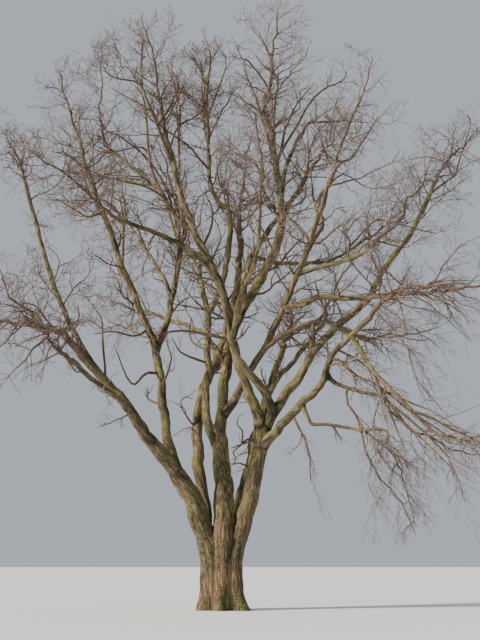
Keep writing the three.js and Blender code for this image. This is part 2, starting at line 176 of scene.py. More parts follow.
# The steps and the wobble of the lines that are made crooked
CROOKED = dict(stems=(22, 0.045), sides=(9, 0.08), sprays=(6, 0.09), small=(12, 0.02))
STEM_SINK = 0.2
LIMB_ARMS = dict(spacing=0.4, first=0.3, last=0.99, spread=0.95, length=(1.0, 2.7), thick=0.34,
                 steps=9, kink=0.42, least=0.026, most=0.062, tip=0.25, pulls=(-0.12, 0.08))
SMALL_PULLS = (-0.15, 0.05)
ARM_FORKS = dict(count=3, first=0.2, last=0.9, spread=0.85, length=0.62, fade=0.3, thick=0.66,
                 steps=7, kink=0.5, least=0.014)
SMALL_FORKS = dict(ARM_FORKS, count=4, spread=0.8, length=0.5, least=0.011)
FILLS = dict(count=15, first=0.08, last=0.99, spread=1.15, length=0.8, fade=0.3, thick=0.4,
             steps=8, kink=0.42, least=0.011)
SHOOTS = dict(first=0.08, last=0.98, spread=0.95, length=0.55, fade=0.35, thick=0.5,
              steps=4, kink=0.3, least=0.008)
SPRIGS = dict(count=5, first=0.12, last=0.98, spread=0.8, length=0.42, fade=0.3, thick=0.55,
              steps=2, kink=0.3, least=0.0058)
TWIGLETS = dict(count=3, first=0.2, last=0.96, spread=0.7, length=0.5, fade=0.2, thick=0.6,
                steps=1, kink=0.3, least=0.004)
STRANDS = dict(SHOOTS, count=4, first=0.15, spread=0.45, length=0.95, fade=0.2, kink=0.16)
STRAND_PULL = -0.36
PULL_STEPS = 2.5
HANGS_BELOW = -0.1
SWEEP = 0.17
# The share of browner shoots at a height in the middle, how it grows to the left and upwards, its
# limits, and the grey share of the rest
BROWN_SHARE = 0.25
BROWN_HEIGHT = 10
BROWN_LEFT = 0.05
BROWN_UP = 0.02
BROWN_LIMITS = (0.1, 0.65)
GREY_SHARE = 0.6
# The farthest that twigs may stand: the solids' box and a little more
LOW_LIMIT = np.array(CAD_BOX[0]) - 0.3
HIGH_LIMIT = np.array(CAD_BOX[1]) + 0.3
LEAST_HEIGHT = 1.9
# How full the photograph shows the crown: bare within and full outside
CROWN_MIDDLE = np.array([0.5, 0.5, 9.5])
CROWN_HALF = np.array([9.5, 9.0, 11.5])
BARE_WITHIN = 0.3
FULL_BEYOND = 0.8
LEAST_FILL = 0.12
# Where the crown is more open, from the front: the middle of each place, its reach, what is kept
OPENINGS = [(7.5, 5.8, 4.4, 0.25), (8.2, 9.0, 2.8, 0.25), (7.8, 16.0, 2.2, 0.4),
            (4.2, 16.5, 2.2, 0.5), (-7.2, 14.5, 2.0, 0.7)]

# Limbs, each after its parent: its name, its parent, where it leaves it as a count of the parent's
# points (a stem has its foot there), its diameters, and the places that it passes
LIMBS = [
    ("stem_left", None, (-0.37, -0.1, 1.45), (0.62, 0.68, 0.5, 0.38, 0.27),
     [(-0.61, -0.15, 2.4), (-1.05, -0.35, 3.65), (-1.7, -0.6, 4.7), (-2.45, -1.1, 5.5), (-3.1, -1.6, 6.5),
      (-4.6, -2.4, 8.1)]),
    ("stem_centre", None, (0, -0.19, 1.6), (0.66, 0.7, 0.65, 0.57, 0.44, 0.37, 0.35, 0.32, 0.27, 0.25, 0.23),
     [(0.05, -0.2, 2.9), (0.05, 0, 4.05), (-0.1, 0.1, 5.25), (-0.08, 0.14, 6.1), (0.2, 0.3, 8.7),
      (0.65, 0.4, 10.2), (1.4, 0, 11.35), (2.1, -0.6, 13.05), (2.05, -0.8, 13.8), (1.85, -1.2, 15.4)]),
    ("stem_right", None, (0.37, -0.13, 1.45), (0.58, 0.56, 0.54),
     [(0.6, -0.2, 2.4), (1.05, -0.5, 4.2), (1.35, -0.7, 5.85)]),
    ("stem_back_left", None, (-0.33, 0.33, 1.6), (0.48, 0.39, 0.34, 0.27),
     [(-0.55, 0.5, 2.9), (-0.9, 1.4, 5.55), (-0.85, 2.1, 7.4), (-0.25, 2.9, 9), (0.35, 4, 11.35),
      (0.65, 5.2, 14.45)]),
    ("stem_back_right", None, (0.33, 0.32, 1.6), (0.46, 0.35, 0.24),
     [(0.45, 0.6, 2.85), (0.9, 1.3, 4.7), (1.1, 2, 5.8), (1.9, 4.2, 8.6), (2.4, 5.6, 10.1)]),
    ("bough_left_high", "stem_left", 2.8, (0.4, 0.33, 0.265, 0.205),
     [(-1.75, -0.2, 5.2), (-2, 0.3, 6.3), (-2.4, 0.9, 8.85), (-2.9, 0.9, 10.1), (-3.8, 0.6, 12.3),
      (-4.45, 0.3, 14.05)]),
    ("bough_left_rise", "stem_left", 5.45, (0.205, 0.17, 0.13),
     [(-4.35, -1.95, 8.05), (-5.15, -2.5, 9.5), (-5.7, -2.9, 11.05), (-6.45, -3.2, 13.6)]),
    ("bough_left_middle", "bough_left_high", 3, (0.255, 0.205),
     [(-2.1, 1.6, 10.05), (-1.95, 2.2, 11.2), (-1.7, 3.3, 13.6)]),
    ("bough_left_back", "bough_left_middle", 1.95, (0.18, 0.13),
     [(-2.4, 2.6, 12.25), (-3.4, 3.8, 14)]),
    ("bough_centre_left", "stem_centre", 3, (0.35, 0.26, 0.175),
     [(-0.45, 0.2, 5.95), (-0.6, 0.5, 6.85), (-0.55, 1, 8.4), (-0.6, 1.6, 10.35), (-0.9, 2.7, 11.8),
      (-1.1, 5.4, 13.3)]),
    ("bough_centre_rise", "bough_centre_left", 4, (0.24, 0.2, 0.13),
     [(-0.05, 1.9, 11.75), (0.25, 1.9, 14.35), (-0.2, 1.9, 14.9), (-0.55, 2, 15.75), (-0.65, 2.2, 17.6)]),
    ("bough_centre_back", "stem_centre", 6, (0.235, 0.19),
     [(0.8, 1.2, 11.5), (1.05, 1.9, 12.7), (2.25, 3.4, 15), (3.1, 4.1, 16.35)]),
    ("bough_back_right_high", "bough_centre_back", 2, (0.175, 0.125),
     [(2.35, 2.9, 12.75), (4, 4, 13.15), (5.3, 4.8, 14)]),
    ("bough_leader_fork", "stem_centre", 9, (0.185, 0.125),
     [(2.15, -0.6, 14.85), (2.5, -0.3, 16.05), (2.8, 0, 16.8)]),
    ("bough_cross", "stem_right", 2.95, (0.38, 0.29, 0.26, 0.185),
     [(1.15, -0.9, 6.45), (0.45, -0.7, 8.4), (0.2, -1.1, 9.75), (-0.1, -1.3, 10.75), (-0.55, -1.5, 11.7),
      (-1.3, -1.7, 13.4), (-1.8, -1.9, 15.3)]),
    ("bough_cross_fork", "bough_cross", 5.5, (0.175, 0.125),
     [(-1.55, -1.4, 13), (-2.3, -0.9, 14.35), (-3.55, -0.3, 15.6)]),
    ("bough_right_far", "stem_right", 2.9, (0.4, 0.3, 0.255, 0.215, 0.15),
     [(1.7, -0.9, 6.35), (2.55, -1.2, 7.5), (3.1, -1.2, 8.4), (3.8, -1.1, 9.25), (5.05, -0.9, 10.35),
      (5.4, -0.8, 11.1), (6.7, -0.3, 13), (7.6, 0.1, 14.7)]),
    ("bough_dark", "bough_right_far", 1.05, (0.32, 0.24, 0.2, 0.125),
     [(1.3, -1.7, 7.1), (0.8, -2.1, 7.7), (0.4, -2.4, 8.25), (-0.1, -3.2, 10.2), (-1, -3.9, 11.15),
      (-2.85, -4.9, 11.7)]),
    ("bough_front", "bough_dark", 3.2, (0.165, 0.115),
     [(0.6, -3.5, 9.6), (1.1, -4.6, 10.7), (1.2, -5.3, 11.6)]),
    ("bough_right_cross", "stem_centre", 4.13, (0.3, 0.235, 0.225, 0.175),
     [(0.55, -0.3, 7.1), (1, -0.3, 8), (1.9, -0.5, 9.6), (2.35, -0.9, 10.65), (2.85, -1.9, 11.75),
      (3.25, -3.4, 12.75)]),
    ("bough_right_long", "bough_right_cross", 3.4, (0.235, 0.16),
     [(2.7, -1.4, 10), (3.25, -2.1, 10.05), (4.1, -2.7, 9.85), (5.95, -3.6, 9.8)]),
    ("bough_right_fan", "bough_right_cross", 4.4, (0.17, 0.12),
     [(3.25, -1.7, 11.2), (4.55, -2.3, 11.45), (5.2, -2.6, 11.9)]),
    ("bough_back_right", "bough_right_cross", 2.1, (0.205, 0.165),
     [(1.55, 0.8, 9), (2.35, 2.2, 9.8), (4, 4.2, 10.7), (4.85, 5, 10.55)]),
    ("bough_back_low", "bough_right_far", 0.8, (0.22, 0.175),
     [(1.55, 0, 6.95), (1.85, 0.9, 7.7), (2.45, 1.5, 8.5), (3.35, 2.3, 9.7)]),
    ("bough_back_left", "stem_back_left", 4, (0.205, 0.145),
     [(-0.75, 4, 10.15), (-1.6, 5.2, 10.85), (-2.7, 6.2, 11.4)]),
    ("bough_right_low", "stem_right", 2.6, (0.35, 0.255, 0.165),
     [(1.6, -1, 5.55), (2, -1.5, 5.95), (2.95, -2.6, 6.8), (3.25, -2.9, 7.1), (3.5, -3.3, 7.85),
      (4.6, -4.3, 8.85)]),
    ("bough_right_hanging", "bough_right_low", 5.55, (0.155, 0.105),
     [(4.35, -4.2, 7.7), (4.7, -4.6, 7), (5.6, -5.3, 5.8)]),
    ("bough_right_lower", "bough_right_low", 4.4, (0.155, 0.105),
     [(3.6, -2.9, 7.05), (4.3, -2.8, 6.8), (5.15, -2.7, 6.6), (5.65, -2.6, 6.05)]),
    ("bough_low_hook", "bough_right_low", 2.6, (0.15, 0.1),
     [(2.75, -2.45, 6.05), (2.9, -2.5, 5.8), (3.35, -2.7, 5.75), (4.35, -3.3, 5.5)]),
    ("bough_front_left", "stem_left", 3.4, (0.22, 0.145),
     [(-2.8, -1.8, 6), (-3.3, -2.7, 6.6), (-3.95, -3.9, 7), (-4.4, -5, 7.4)]),
]

# Masses: the name, the limb that it goes on from, its space's middle and half sizes, and its pull
# upwards
MASSES = [
    ("twigs_left_low", "stem_left", (-6.7, -3, 8.5), (2.4, 2.5, 2.4), -0.05),
    ("twigs_left_far", "bough_left_rise", (-6.7, -3.5, 14.2), (2.1, 2.5, 2.5), 0.04),
    ("twigs_left_high", "bough_left_high", (-5.4, 0.3, 17), (2.1, 2.4, 3.2), 0.07),
    ("twigs_left_middle", "bough_left_middle", (-2.5, 4, 16.7), (2.1, 2.3, 3), 0.07),
    ("twigs_left_back", "bough_left_back", (-5.1, 4.9, 15.8), (2.4, 2.5, 2.7), 0.05),
    ("twigs_back_top", "stem_back_left", (0.9, 6, 17.4), (2.3, 2.4, 3), 0.08),
    ("twigs_crown_top", "stem_centre", (1.9, -1.5, 18.5), (2.4, 2.3, 2.9), 0.1),
    ("twigs_back", "bough_centre_left", (-1.7, 7.1, 14.4), (2.4, 2.1, 2.6), 0.05),
    ("twigs_centre_top", "bough_centre_rise", (-0.9, 2, 19.3), (2.3, 2.3, 2.1), 0.1),
    ("twigs_right_top_back", "bough_centre_back", (3.9, 4.5, 18), (2.2, 2.5, 2.4), 0.08),
    ("twigs_right_top", "bough_leader_fork", (4, 0.3, 17.1), (2, 2.2, 2.1), 0.06),
    ("twigs_left_top", "bough_cross", (-2.4, -2.1, 18), (2.1, 2.3, 2.6), 0.1),
    ("twigs_left_top_fork", "bough_cross_fork", (-4, -0.9, 18), (2, 2.2, 2.4), 0.07),
    ("twigs_right_far", "bough_right_far", (8.4, 0.3, 15.8), (2.1, 2.6, 2.2), 0.05),
    ("twigs_front_left", "bough_dark", (-4.3, -5.6, 12.7), (2.5, 2.4, 2.5), 0.05),
    ("twigs_front", "bough_front", (1.2, -6.2, 13), (2.4, 1.9, 2.5), 0.05),
    ("twigs_front_right_high", "bough_right_cross", (4.1, -4.3, 15.2), (2.4, 2.4, 2.6), 0.05),
    ("twigs_right_long", "bough_right_long", (7.4, -4.2, 9.9), (2.3, 2.5, 3), -0.2),
    ("twigs_right_fan", "bough_right_fan", (6.3, -2.4, 13.7), (2.2, 2.2, 2.6), 0.05),
    ("twigs_back_right", "bough_back_right", (6.8, 5.6, 10.8), (2.5, 2.7, 2.6), -0.05),
    ("twigs_back_right_high", "bough_back_right_high", (6.7, 4.7, 15.4), (2.4, 2.6, 2.4), 0.05),
    ("twigs_front_right", "bough_right_low", (5.6, -6.2, 8.9), (2.3, 2.2, 2.4), -0.1),
    ("twigs_right_hanging", "bough_right_hanging", (7, -5.9, 5.2), (2.1, 2.1, 2), -0.25),
    ("twigs_right_lower", "bough_right_lower", (7.3, -2.2, 5.5), (2.2, 1.9, 2.3), -0.25),
    ("twigs_low_hook", "bough_low_hook", (5.1, -3.5, 3.9), (1.5, 1.6, 1.9), -0.3),
    ("twigs_right_inner", "bough_back_low", (4.5, 2, 11.8), (2.2, 2.1, 2.4), 0.05),
    ("twigs_back_middle", "stem_back_right", (2.8, 7.6, 11.8), (2.6, 2.1, 2.6), 0.05),
    ("twigs_back_left", "bough_back_left", (-4.3, 7, 12), (2.6, 2.3, 2.5), 0),
    ("twigs_front_low_left", "bough_front_left", (-5.3, -6.4, 8.5), (2.2, 2.1, 2.2), -0.05),
]

# Smaller branches that the photograph shows off the limbs: the diameter, and the places that each
# passes. Each leaves the nearest line.
SMALL = [
    (0.13, (-2.2, 0.6, 8.05), (-2.7, 0.2, 7.95), (-3.15, -0.3, 7.5), (-3.7, -0.9, 8.75)),
    (0.09, (-3.75, -1.9, 7.3), (-3.95, -1.6, 9.25), (-4.2, -1.5, 9.8), (-4.7, -1.4, 10.35)),
    (0.1, (-2.9, 0.9, 9.6), (-3.35, 0.4, 9.25), (-3.9, -0.2, 9.3), (-4.55, -0.8, 9.1)),
    (0.11, (0.25, -0.8, 8.85), (-1.35, -1.7, 9), (-2.05, -2.1, 8.8), (-2.5, -2.5, 8.35)),
    (0.1, (-0.6, 0.9, 8.45), (-1.5, 0.4, 8.75), (-1.8, 0.2, 9.25)),
    (0.09, (-0.6, 1.1, 8.95), (-1.15, 1.3, 9.3), (-1.25, 1.5, 9.8), (-1.15, 1.6, 10.35)),
    (0.1, (1.35, -0.7, 5.5), (0.9, -1, 5.4), (0.25, -1.8, 5.1)),
    (0.09, (2.3, -1.9, 6.15), (2.75, -2.3, 5.1), (2.85, -2.5, 3.9)),
    (0.06, (-3, -1.5, 6.25), (-4, -2.2, 5.7)),
    (0.1, (-4.4, 0.3, 13.9), (-5, 0, 13.65), (-6.05, -0.7, 14.15)),
    (0.11, (-3.6, 0.7, 11.9), (-3.7, 1.2, 13.7), (-4, 1.5, 15), (-4.65, 1.8, 15.45)),
    (0.13, (-1.85, 2.6, 12), (-1.95, 3.4, 14.25), (-2.5, 4, 16.15), (-4.5, 4.8, 17.8)),
    (0.12, (-1.75, 3.2, 13.4), (-2.65, 3.8, 16.15), (-5.35, 5, 17.15), (-6.6, 5.2, 17.5)),
    (0.18, (1.35, -0.3, 8.6), (2.05, -1, 9.05), (3.25, -2.2, 9.15), (4.15, -3.2, 8.45)),
    (0.16, (2.75, -1.7, 11.6), (3.4, -1.2, 13), (3.5, -0.9, 13.8), (4.25, -0.2, 15.4), (4.85, 0.1, 16.15),
     (5.95, 0.7, 18.1)),
    (0.1, (3.5, -0.9, 13.8), (3.25, -0.7, 14.1), (3.2, -0.1, 15.45)),
    (0.19, (3.1, -1.2, 8.45), (3.1, -1, 9.4), (3.5, -0.8, 9.9), (3.2, -0.4, 11.3)),
    (0.13, (5.95, -3.6, 9.8), (6.6, -4.1, 9.9), (7.7, -4.9, 9.8)),
    (0.1, (5.25, -2.7, 6.55), (6.7, -3, 5.15), (7.1, -3.1, 4.55), (7.2, -3.1, 4.05)),
    (0.1, (3.95, -2.8, 6.85), (3.95, -2.9, 6.3), (4.25, -3, 5.75), (4.45, -3.1, 4.85), (4.9, -3.2, 3.95),
     (5.5, -3.3, 3.2), (5.95, -3.4, 2.1)),
    (0.1, (4.45, -4.3, 7.55), (5.5, -4.8, 4.55)),
    (0.09, (4.3, -3.2, 5.65), (5.35, -3.4, 4.75), (5.55, -3.5, 4.25)),
    (0.09, (5.6, -5.3, 5.8), (7.05, -5.5, 5.1), (7.35, -5.6, 4.7)),
    (0.1, (3.55, -2.8, 5.75), (3.8, -2.8, 5.2)),
    (0.1, (-2.3, -0.9, 14.35), (-5.05, 0.3, 15.4)),
    (0.13, (1.75, -1.2, 15.35), (1.35, -1.6, 16.85), (0.65, -2.3, 18.55)),
    (0.11, (1.9, -1.2, 15.1), (2.35, -1.6, 16.9), (3.2, -2.2, 17.75)),
    (0.09, (-0.75, 2.2, 17.55), (-0.85, 2, 18.45), (-1.8, 1.5, 19.5)),
    (0.12, (-1.75, -1.8, 14.85), (-2.6, -2.9, 16.95), (-2.75, -3.2, 17.75)),
    (0.11, (-1.6, -1.8, 14.15), (-1.55, -1.2, 16.7), (-1.7, -0.9, 18.2), (-2.1, -0.7, 19.45)),
    (0.08, (-2.75, -3.2, 17.75), (-2.7, -3.4, 19.2)),
    (0.08, (-2.6, -2.9, 16.95), (-2.8, -3, 17.35), (-3.45, -3.6, 17.15), (-3.85, -3.9, 17.25),
     (-4, -4.1, 17.65)),
    (0.06, (-2.6, -2.9, 16.95), (-3.2, -2.7, 18.05), (-3.5, -2.6, 18.15), (-3.55, -2.5, 18.6),
     (-3.95, -2.3, 19.3)),
    (0.08, (-2.2, -2.4, 16), (-2.4, -2.6, 16.45), (-3.8, -4, 16.8)),
    (0.09, (-2.2, -2.4, 16), (-1.65, -1.6, 17.85), (-2.05, -1.2, 19)),
    (0.1, (-1.8, -1.9, 15.45), (-1.55, -1.1, 16.65), (-0.95, -0.4, 17.35), (-0.6, 0, 18.05)),
    (0.07, (-1.55, -1.1, 16.65), (-1.65, -0.8, 17.6), (-1.4, -0.6, 18.85)),
    (0.1, (-0.65, 1.9, 16.3), (-1.5, 1.1, 17), (-2.35, 0.6, 17.45), (-2.75, 0.4, 18.05)),
    (0.09, (-0.65, 2.2, 17.55), (-0.85, 2.4, 18.4), (-0.9, 3, 20.65), (-1.1, 3.1, 21.5)),
    (0.09, (1.35, -1.6, 16.85), (1.7, -1.6, 17.65), (0.95, -2.2, 18.55), (0.7, -2.4, 18.6),
     (0.35, -2.6, 19.2)),
    (0.1, (1.9, -1.2, 15.3), (1.85, -1.4, 16.45), (1.9, -1.4, 17.45), (2, -1.6, 18.05),
     (1.95, -1.7, 18.25), (1.35, -2.2, 18.4), (1, -2.3, 19)),
    (0.07, (-3.45, 4.4, 17), (-4, 4.2, 17.4), (-4.45, 3.9, 18.75)),
    (0.12, (-1.7, 3.3, 13.6), (-2.45, 3.9, 16.15), (-3.3, 3.2, 17.35), (-4.1, 2.8, 17.95),
     (-4.6, 2.5, 18), (-5.2, 2.2, 18.35)),
    (0.08, (-3.1, 3.4, 17.05), (-3.35, 3.1, 17.55), (-4.5, 1.7, 16.75), (-4.95, 1.2, 16.7),
     (-5.45, 1, 17.05)),
    (0.08, (-2.95, -4.6, 11.85), (-3.05, -4.5, 12.5), (-3.15, -4.3, 12.75), (-3.9, -3.8, 13.35),
     (-4.05, -3.7, 14)),
    (0.08, (-2.8, -4.6, 11.75), (-2.6, -4.6, 11.6), (-2.15, -4, 10.7)),
    (0.09, (-0.65, -1.5, 12), (-0.35, -1.2, 13), (-0.4, -1.1, 13.7), (-0.55, -1.2, 13.85),
     (-0.6, -1.3, 14.35)),
    (0.11, (0.25, 1.9, 14.35), (0.2, 1.7, 15), (-0.1, 1.6, 15.45), (-0.2, 1.5, 15.95),
     (-0.15, 1.4, 16.25), (0.25, 1.2, 16.7), (0.2, 1, 17.7)),
    (0.1, (2, -0.5, 13.25), (1.3, -0.9, 14.4), (1.3, -0.9, 14.8), (1.1, -1, 15.2), (0.6, -1.2, 15.4),
     (-0.1, -1.4, 16.05)),
    (0.09, (1.75, -0.2, 12.3), (0.55, 0.6, 14.95)),
    (0.06, (1.5, -0.8, 14.15), (1, -1.1, 13.55), (0.85, -1.3, 12.95)),
    (0.12, (3.1, 4.1, 16.3), (3.4, 4.2, 16.8), (3.55, 4.4, 18.25), (4.25, 4.6, 19.35), (4.8, 4.7, 19.55)),
    (0.08, (3.5, 4.3, 17.5), (4.05, 4.1, 17.85), (4.25, 4, 18.2), (4.2, 4, 18.65), (4.65, 3.9, 19)),
    (0.1, (1.9, -1.2, 15.3), (3.3, -1.2, 17.7), (4.25, -1.2, 18.25), (4.5, -1.2, 18.8)),
    (0.06, (1.85, -1.4, 16.45), (2.1, -1.4, 16.8), (2.9, -1.7, 16.95)),
    (0.11, (2.85, -1.3, 12.05), (2.6, -1, 12.8), (2.1, -0.9, 13.4), (2.25, -0.9, 13.95)),
    (0.08, (3.15, -3.2, 12.85), (2.9, -3, 12.95), (2.45, -2.6, 12.85), (2.2, -2.4, 12.6)),
    (0.09, (2.9, -1.4, 12.05), (3.3, -1.6, 12.1), (3.95, -2, 12.6), (4.15, -2.1, 12.4),
     (4.5, -2.3, 12.75), (4.85, -2.5, 12.75)),
    (0.1, (4.2, -2.1, 11.4), (4.25, -2.4, 11.95), (3.85, -2.6, 12.3)),
    (0.08, (4.25, -2.3, 11.75), (5.15, -2.3, 12.7), (5.65, -2.3, 12.6), (6.15, -2.3, 12.8)),
    (0.07, (2.65, -0.9, 11.45), (2.15, -0.7, 11.8), (1.85, -0.5, 12.55)),
    (0.07, (2.35, -0.6, 10.65), (1.8, -1, 11.35), (1.45, -1.1, 11.35)),
    (0.06, (3.8, -2.5, 10.15), (4.8, -3, 10.95)),
    (0.07, (4, -0.6, 14.05), (4.6, -0.4, 14.85), (5.25, -0.6, 14.35), (5.9, -0.8, 14.35),
     (6.4, -1, 14.55)),
    (0.1, (7.45, 0, 14.55), (8.4, 0.3, 15.3), (8.65, 0.3, 15.65), (9.25, 0.3, 17.4), (9.05, 0.3, 17.75)),
    (0.07, (8.4, 0.3, 15.3), (8.05, 0.1, 15.75), (7.35, -0.1, 15.95), (6.5, -0.4, 15.6)),
    (0.06, (8.85, 0.3, 16.2), (8.65, 0.4, 16.3), (8.25, 0.6, 17.05), (7.55, 0.8, 17.45)),
    (0.06, (7.45, 0, 14.4), (6.9, 0, 15.6)),
    (0.09, (4.2, -3.7, 8.35), (4.8, -3.7, 8.25), (5.35, -3.9, 8.4), (6.05, -4.1, 8.15),
     (6.45, -4.2, 8.2)),
    (0.12, (3.45, -3.2, 7.85), (3.8, -3.4, 7.7), (4.2, -3.8, 7.15), (4.85, -4.2, 6.7), (5.1, -4.4, 5.9)),
    (0.08, (3.65, -3.4, 8), (4.35, -3.2, 7.65), (5.35, -3.5, 6.55)),
    (0.07, (4.85, -3.9, 6.85), (6.3, -4.7, 5.4), (7.5, -5.1, 4.8)),
    (0.06, (5.2, -4.4, 5.95), (6.6, -5.1, 4.4), (7, -5.3, 3.1)),
    (0.06, (4.25, -3.2, 5.75), (4.6, -3.4, 5.3), (5.45, -3.8, 4.75), (5.85, -4, 3.65)),
    (0.05, (4.8, -3.5, 5.1), (4.85, -3.6, 4.7), (5.25, -3.8, 4.05)),
    (0.05, (5.55, -4.2, 6.7), (6.3, -4.8, 5.6), (6.85, -5.1, 4.35)),
    (0.06, (5.05, -4.2, 6.7), (6.5, -4.9, 5.8), (7.4, -5.3, 4.9)),
    (0.05, (5.3, -4.3, 9.3), (6.5, -5.2, 7.7)),
    (0.05, (5.15, -4.2, 9.1), (6.15, -5, 6.95)),
    (0.05, (5.95, -3.6, 9.7), (6.7, -4, 9.15), (7.65, -4.5, 8)),
    (0.05, (6.5, -3.8, 9.85), (7.55, -4.4, 8.85)),
    (0.05, (5.2, -4.6, 7.45), (5.65, -4.9, 6.6), (6.5, -5.3, 5.75)),
    (0.045, (4.3, -4, 7.55), (4.85, -4.5, 5.9), (5.05, -4.7, 4.85)),
    (0.15, (-0.7, 2.15, 17.2), (-0.7, 1.7, 19.3), (-0.55, 1.1, 20.4), (-0.65, 0.8, 20.85)),
    (0.07, (-0.75, 1.9, 18.6), (-1.4, 1.2, 19), (-1.75, 0.8, 18.9), (-2.1, 0.5, 19.2)),
    (0.08, (-0.75, 2, 18.25), (-0.5, 2.1, 19.05), (-0.05, 1.8, 20.25), (0, 1.5, 20.65),
     (-0.15, 1.2, 20.9)),
    (0.08, (-0.65, 2.15, 17.55), (-0.15, 2.5, 19), (0.45, 2.4, 19.95)),
    (0.14, (-1.75, -1.5, 13.25), (-2.55, -1.3, 15.2), (-2.8, -1.1, 17.65), (-3.25, -1, 18.35)),
    (0.1, (-2.05, -1.3, 13.8), (-2.75, -1.6, 14.15), (-4.05, -2.3, 14.25), (-5.1, -2.8, 14.65)),
    (0.07, (-0.7, 1.7, 19.3), (-1.05, 1.9, 20.5), (-1.6, 1.7, 21.15)),
    (0.09, (1.15, -0.6, 5.5), (0.85, -0.8, 5.5), (0.6, -0.9, 5.3), (0.35, -0.9, 5.05), (0.45, -0.8, 4.85),
     (0.25, -0.8, 4.55)),
    (0.07, (0.65, -0.9, 5.35), (0.65, -1, 5.75), (0.5, -1, 5.95), (0.55, -1.1, 6.2), (0.75, -1.1, 6.35)),
    (0.08, (1.05, -0.5, 5.1), (0.7, -0.7, 5.1), (0.25, -0.6, 4.8)),
    (0.08, (0.85, -0.4, 4.55), (0.45, -0.7, 4.75), (0.25, -0.7, 4.7), (0.15, -0.7, 4.9)),
    (0.08, (-0.85, 1.7, 6.2), (-1.1, 1.5, 6.35), (-1.5, 1.2, 6.95), (-1.3, 1.1, 7.2), (-1, 1, 7.1)),
    (0.06, (-0.85, 1.6, 5.9), (-1.2, 1.3, 6.15), (-1.8, 0.9, 5.75)),
]


# A repeatable stream of numbers from 0 to 1, the same as in the source of the solids
def stream(seed):
    mask = 0xFFFFFFFF
    state = seed & mask

    def draw():
        nonlocal state
        state = (state + 0x6D2B79F5) & mask
        n = ((state ^ (state >> 15)) * (state | 1)) & mask
        n ^= (n + (((n ^ (n >> 7)) * (n | 61)) & mask)) & mask
        return ((n ^ (n >> 14)) & mask) / 4294967296
    return draw


def chance(draw):
    return 2 * np.array([draw() for _ in range(3)]) - 1


def unit(v):
    return v / np.maximum(np.linalg.norm(v, axis=-1, keepdims=True), 1e-12)


def path_length(path):
    return np.linalg.norm(np.diff(path, axis=-2), axis=-1).sum(axis=-1)


# The step that holds each place from 0 to 1 on a line of so many steps, and how far along it is
def step_at(t, steps):
    place = np.asarray(t, float) * steps
    step = np.minimum(place.astype(int), steps - 1)
    return step, place - step


# A smooth line through points, at places from 0 to 1
def curve_at(points, t):
    points = np.asarray(points, float)
    ends = np.vstack([2 * points[0] - points[1], points, 2 * points[-1] - points[-2]])
    i, f = step_at(np.clip(t, 0, 1), len(points) - 1)
    f = f[..., None]
    a, b, c, d = (ends[i + k] for k in range(4))
    return (b + 0.5 * f * (c - a) + f ** 2 * (a - 2.5 * b + 2 * c - 0.5 * d)
            + f ** 3 * (1.5 * (b - c) + 0.5 * (d - a)))


def along(values, t):
    return np.interp(np.asarray(t) * (len(values) - 1), np.arange(len(values)), values)


# A level direction square to a heading, for one or many
def sideways(heading):
    flat = np.where(np.abs(heading[..., 2:3]) < 0.95, UP, np.array([1.0, 0, 0]))
    return unit(np.cross(heading, flat))


# A heading that leans off a line by its spread and is turned round it
def turned(onward, turn, spread):
    level = sideways(onward)
    side = level * np.cos(turn) + np.cross(onward, level) * np.sin(turn)
    return onward * np.cos(spread) + side * np.sin(spread)


# Limbs and masses, worked out as the source of the solids does
def make_limbs():
    limbs = {}
    for name, parent, start, thick, via in LIMBS:
        hold = 0
        if parent:
            share = start / (len(limbs[parent]["points"]) - 1)
            start = curve_at(limbs[parent]["points"], share)
            hold = along(limbs[parent]["thick"], share) / 2
        points = np.array([start, *via], float)
        length = path_length(curve_at(points, np.linspace(0, 1, LENGTH_STEPS + 1)))
        steps = math.ceil(length / RING_SPACING) + 1
        places = np.arange(steps + 1) / steps
        limbs[name] = dict(parent=parent, hold=hold, thick=thick, points=points, length=length,
                           path=curve_at(points, places), radii=along(thick, places) / 2)
    return limbs


def make_masses(limbs):
    masses = []
    steps = STEM["steps"]
    for number, (name, on, middle, half, pull) in enumerate(MASSES):
        draw = stream(SEED + number * SEED_STEP)
        before, tip = limbs[on]["path"][-2:]
        foot = limbs[on]["radii"][-1]
        heading = unit(tip - before)
        start = tip + heading * SEAT_GAP
        onward = np.array(middle) - start
        scaled = np.linalg.norm(onward / half)
        end = middle + onward * STEM["reach"] / max(scaled, STEM["least"])
        bend = start + heading * np.linalg.norm(end - start) * STEM["bend"]
        t = np.linspace(0, 1, LENGTH_STEPS + 1)[:, None]
        line = (1 - t) ** 2 * start + 2 * t * (1 - t) * bend + t ** 2 * end
        length = path_length(line)
        path = line[::LENGTH_STEPS // steps].copy()
        for i in range(2, steps):
            path[i] += chance(draw) * STEM["kink"] * length / steps
        path[1] = start + heading * length / steps
        radii = foot * STEM["start"] * (1 + (STEM["tip"] - 1) * np.arange(steps + 1) / steps)
        masses.append(dict(name=name, number=number, draw=draw, foot=foot, path=path, radii=radii,
                           middle=middle, half=half, pull=pull))
    return masses


# What twigs must not touch, as beads along every limb and every mass's stem
def beads_of(path, radii):
    beads = []
    for i in range(len(path) - 1):
        pieces = math.ceil(np.linalg.norm(path[i + 1] - path[i]) / BEAD_SPACING)
        for t in np.arange(pieces + 1) / pieces:
            at = path[i] * (1 - t) + path[i + 1] * t
            beads.append((*at, radii[i] * (1 - t) + radii[i + 1] * t))
    return beads


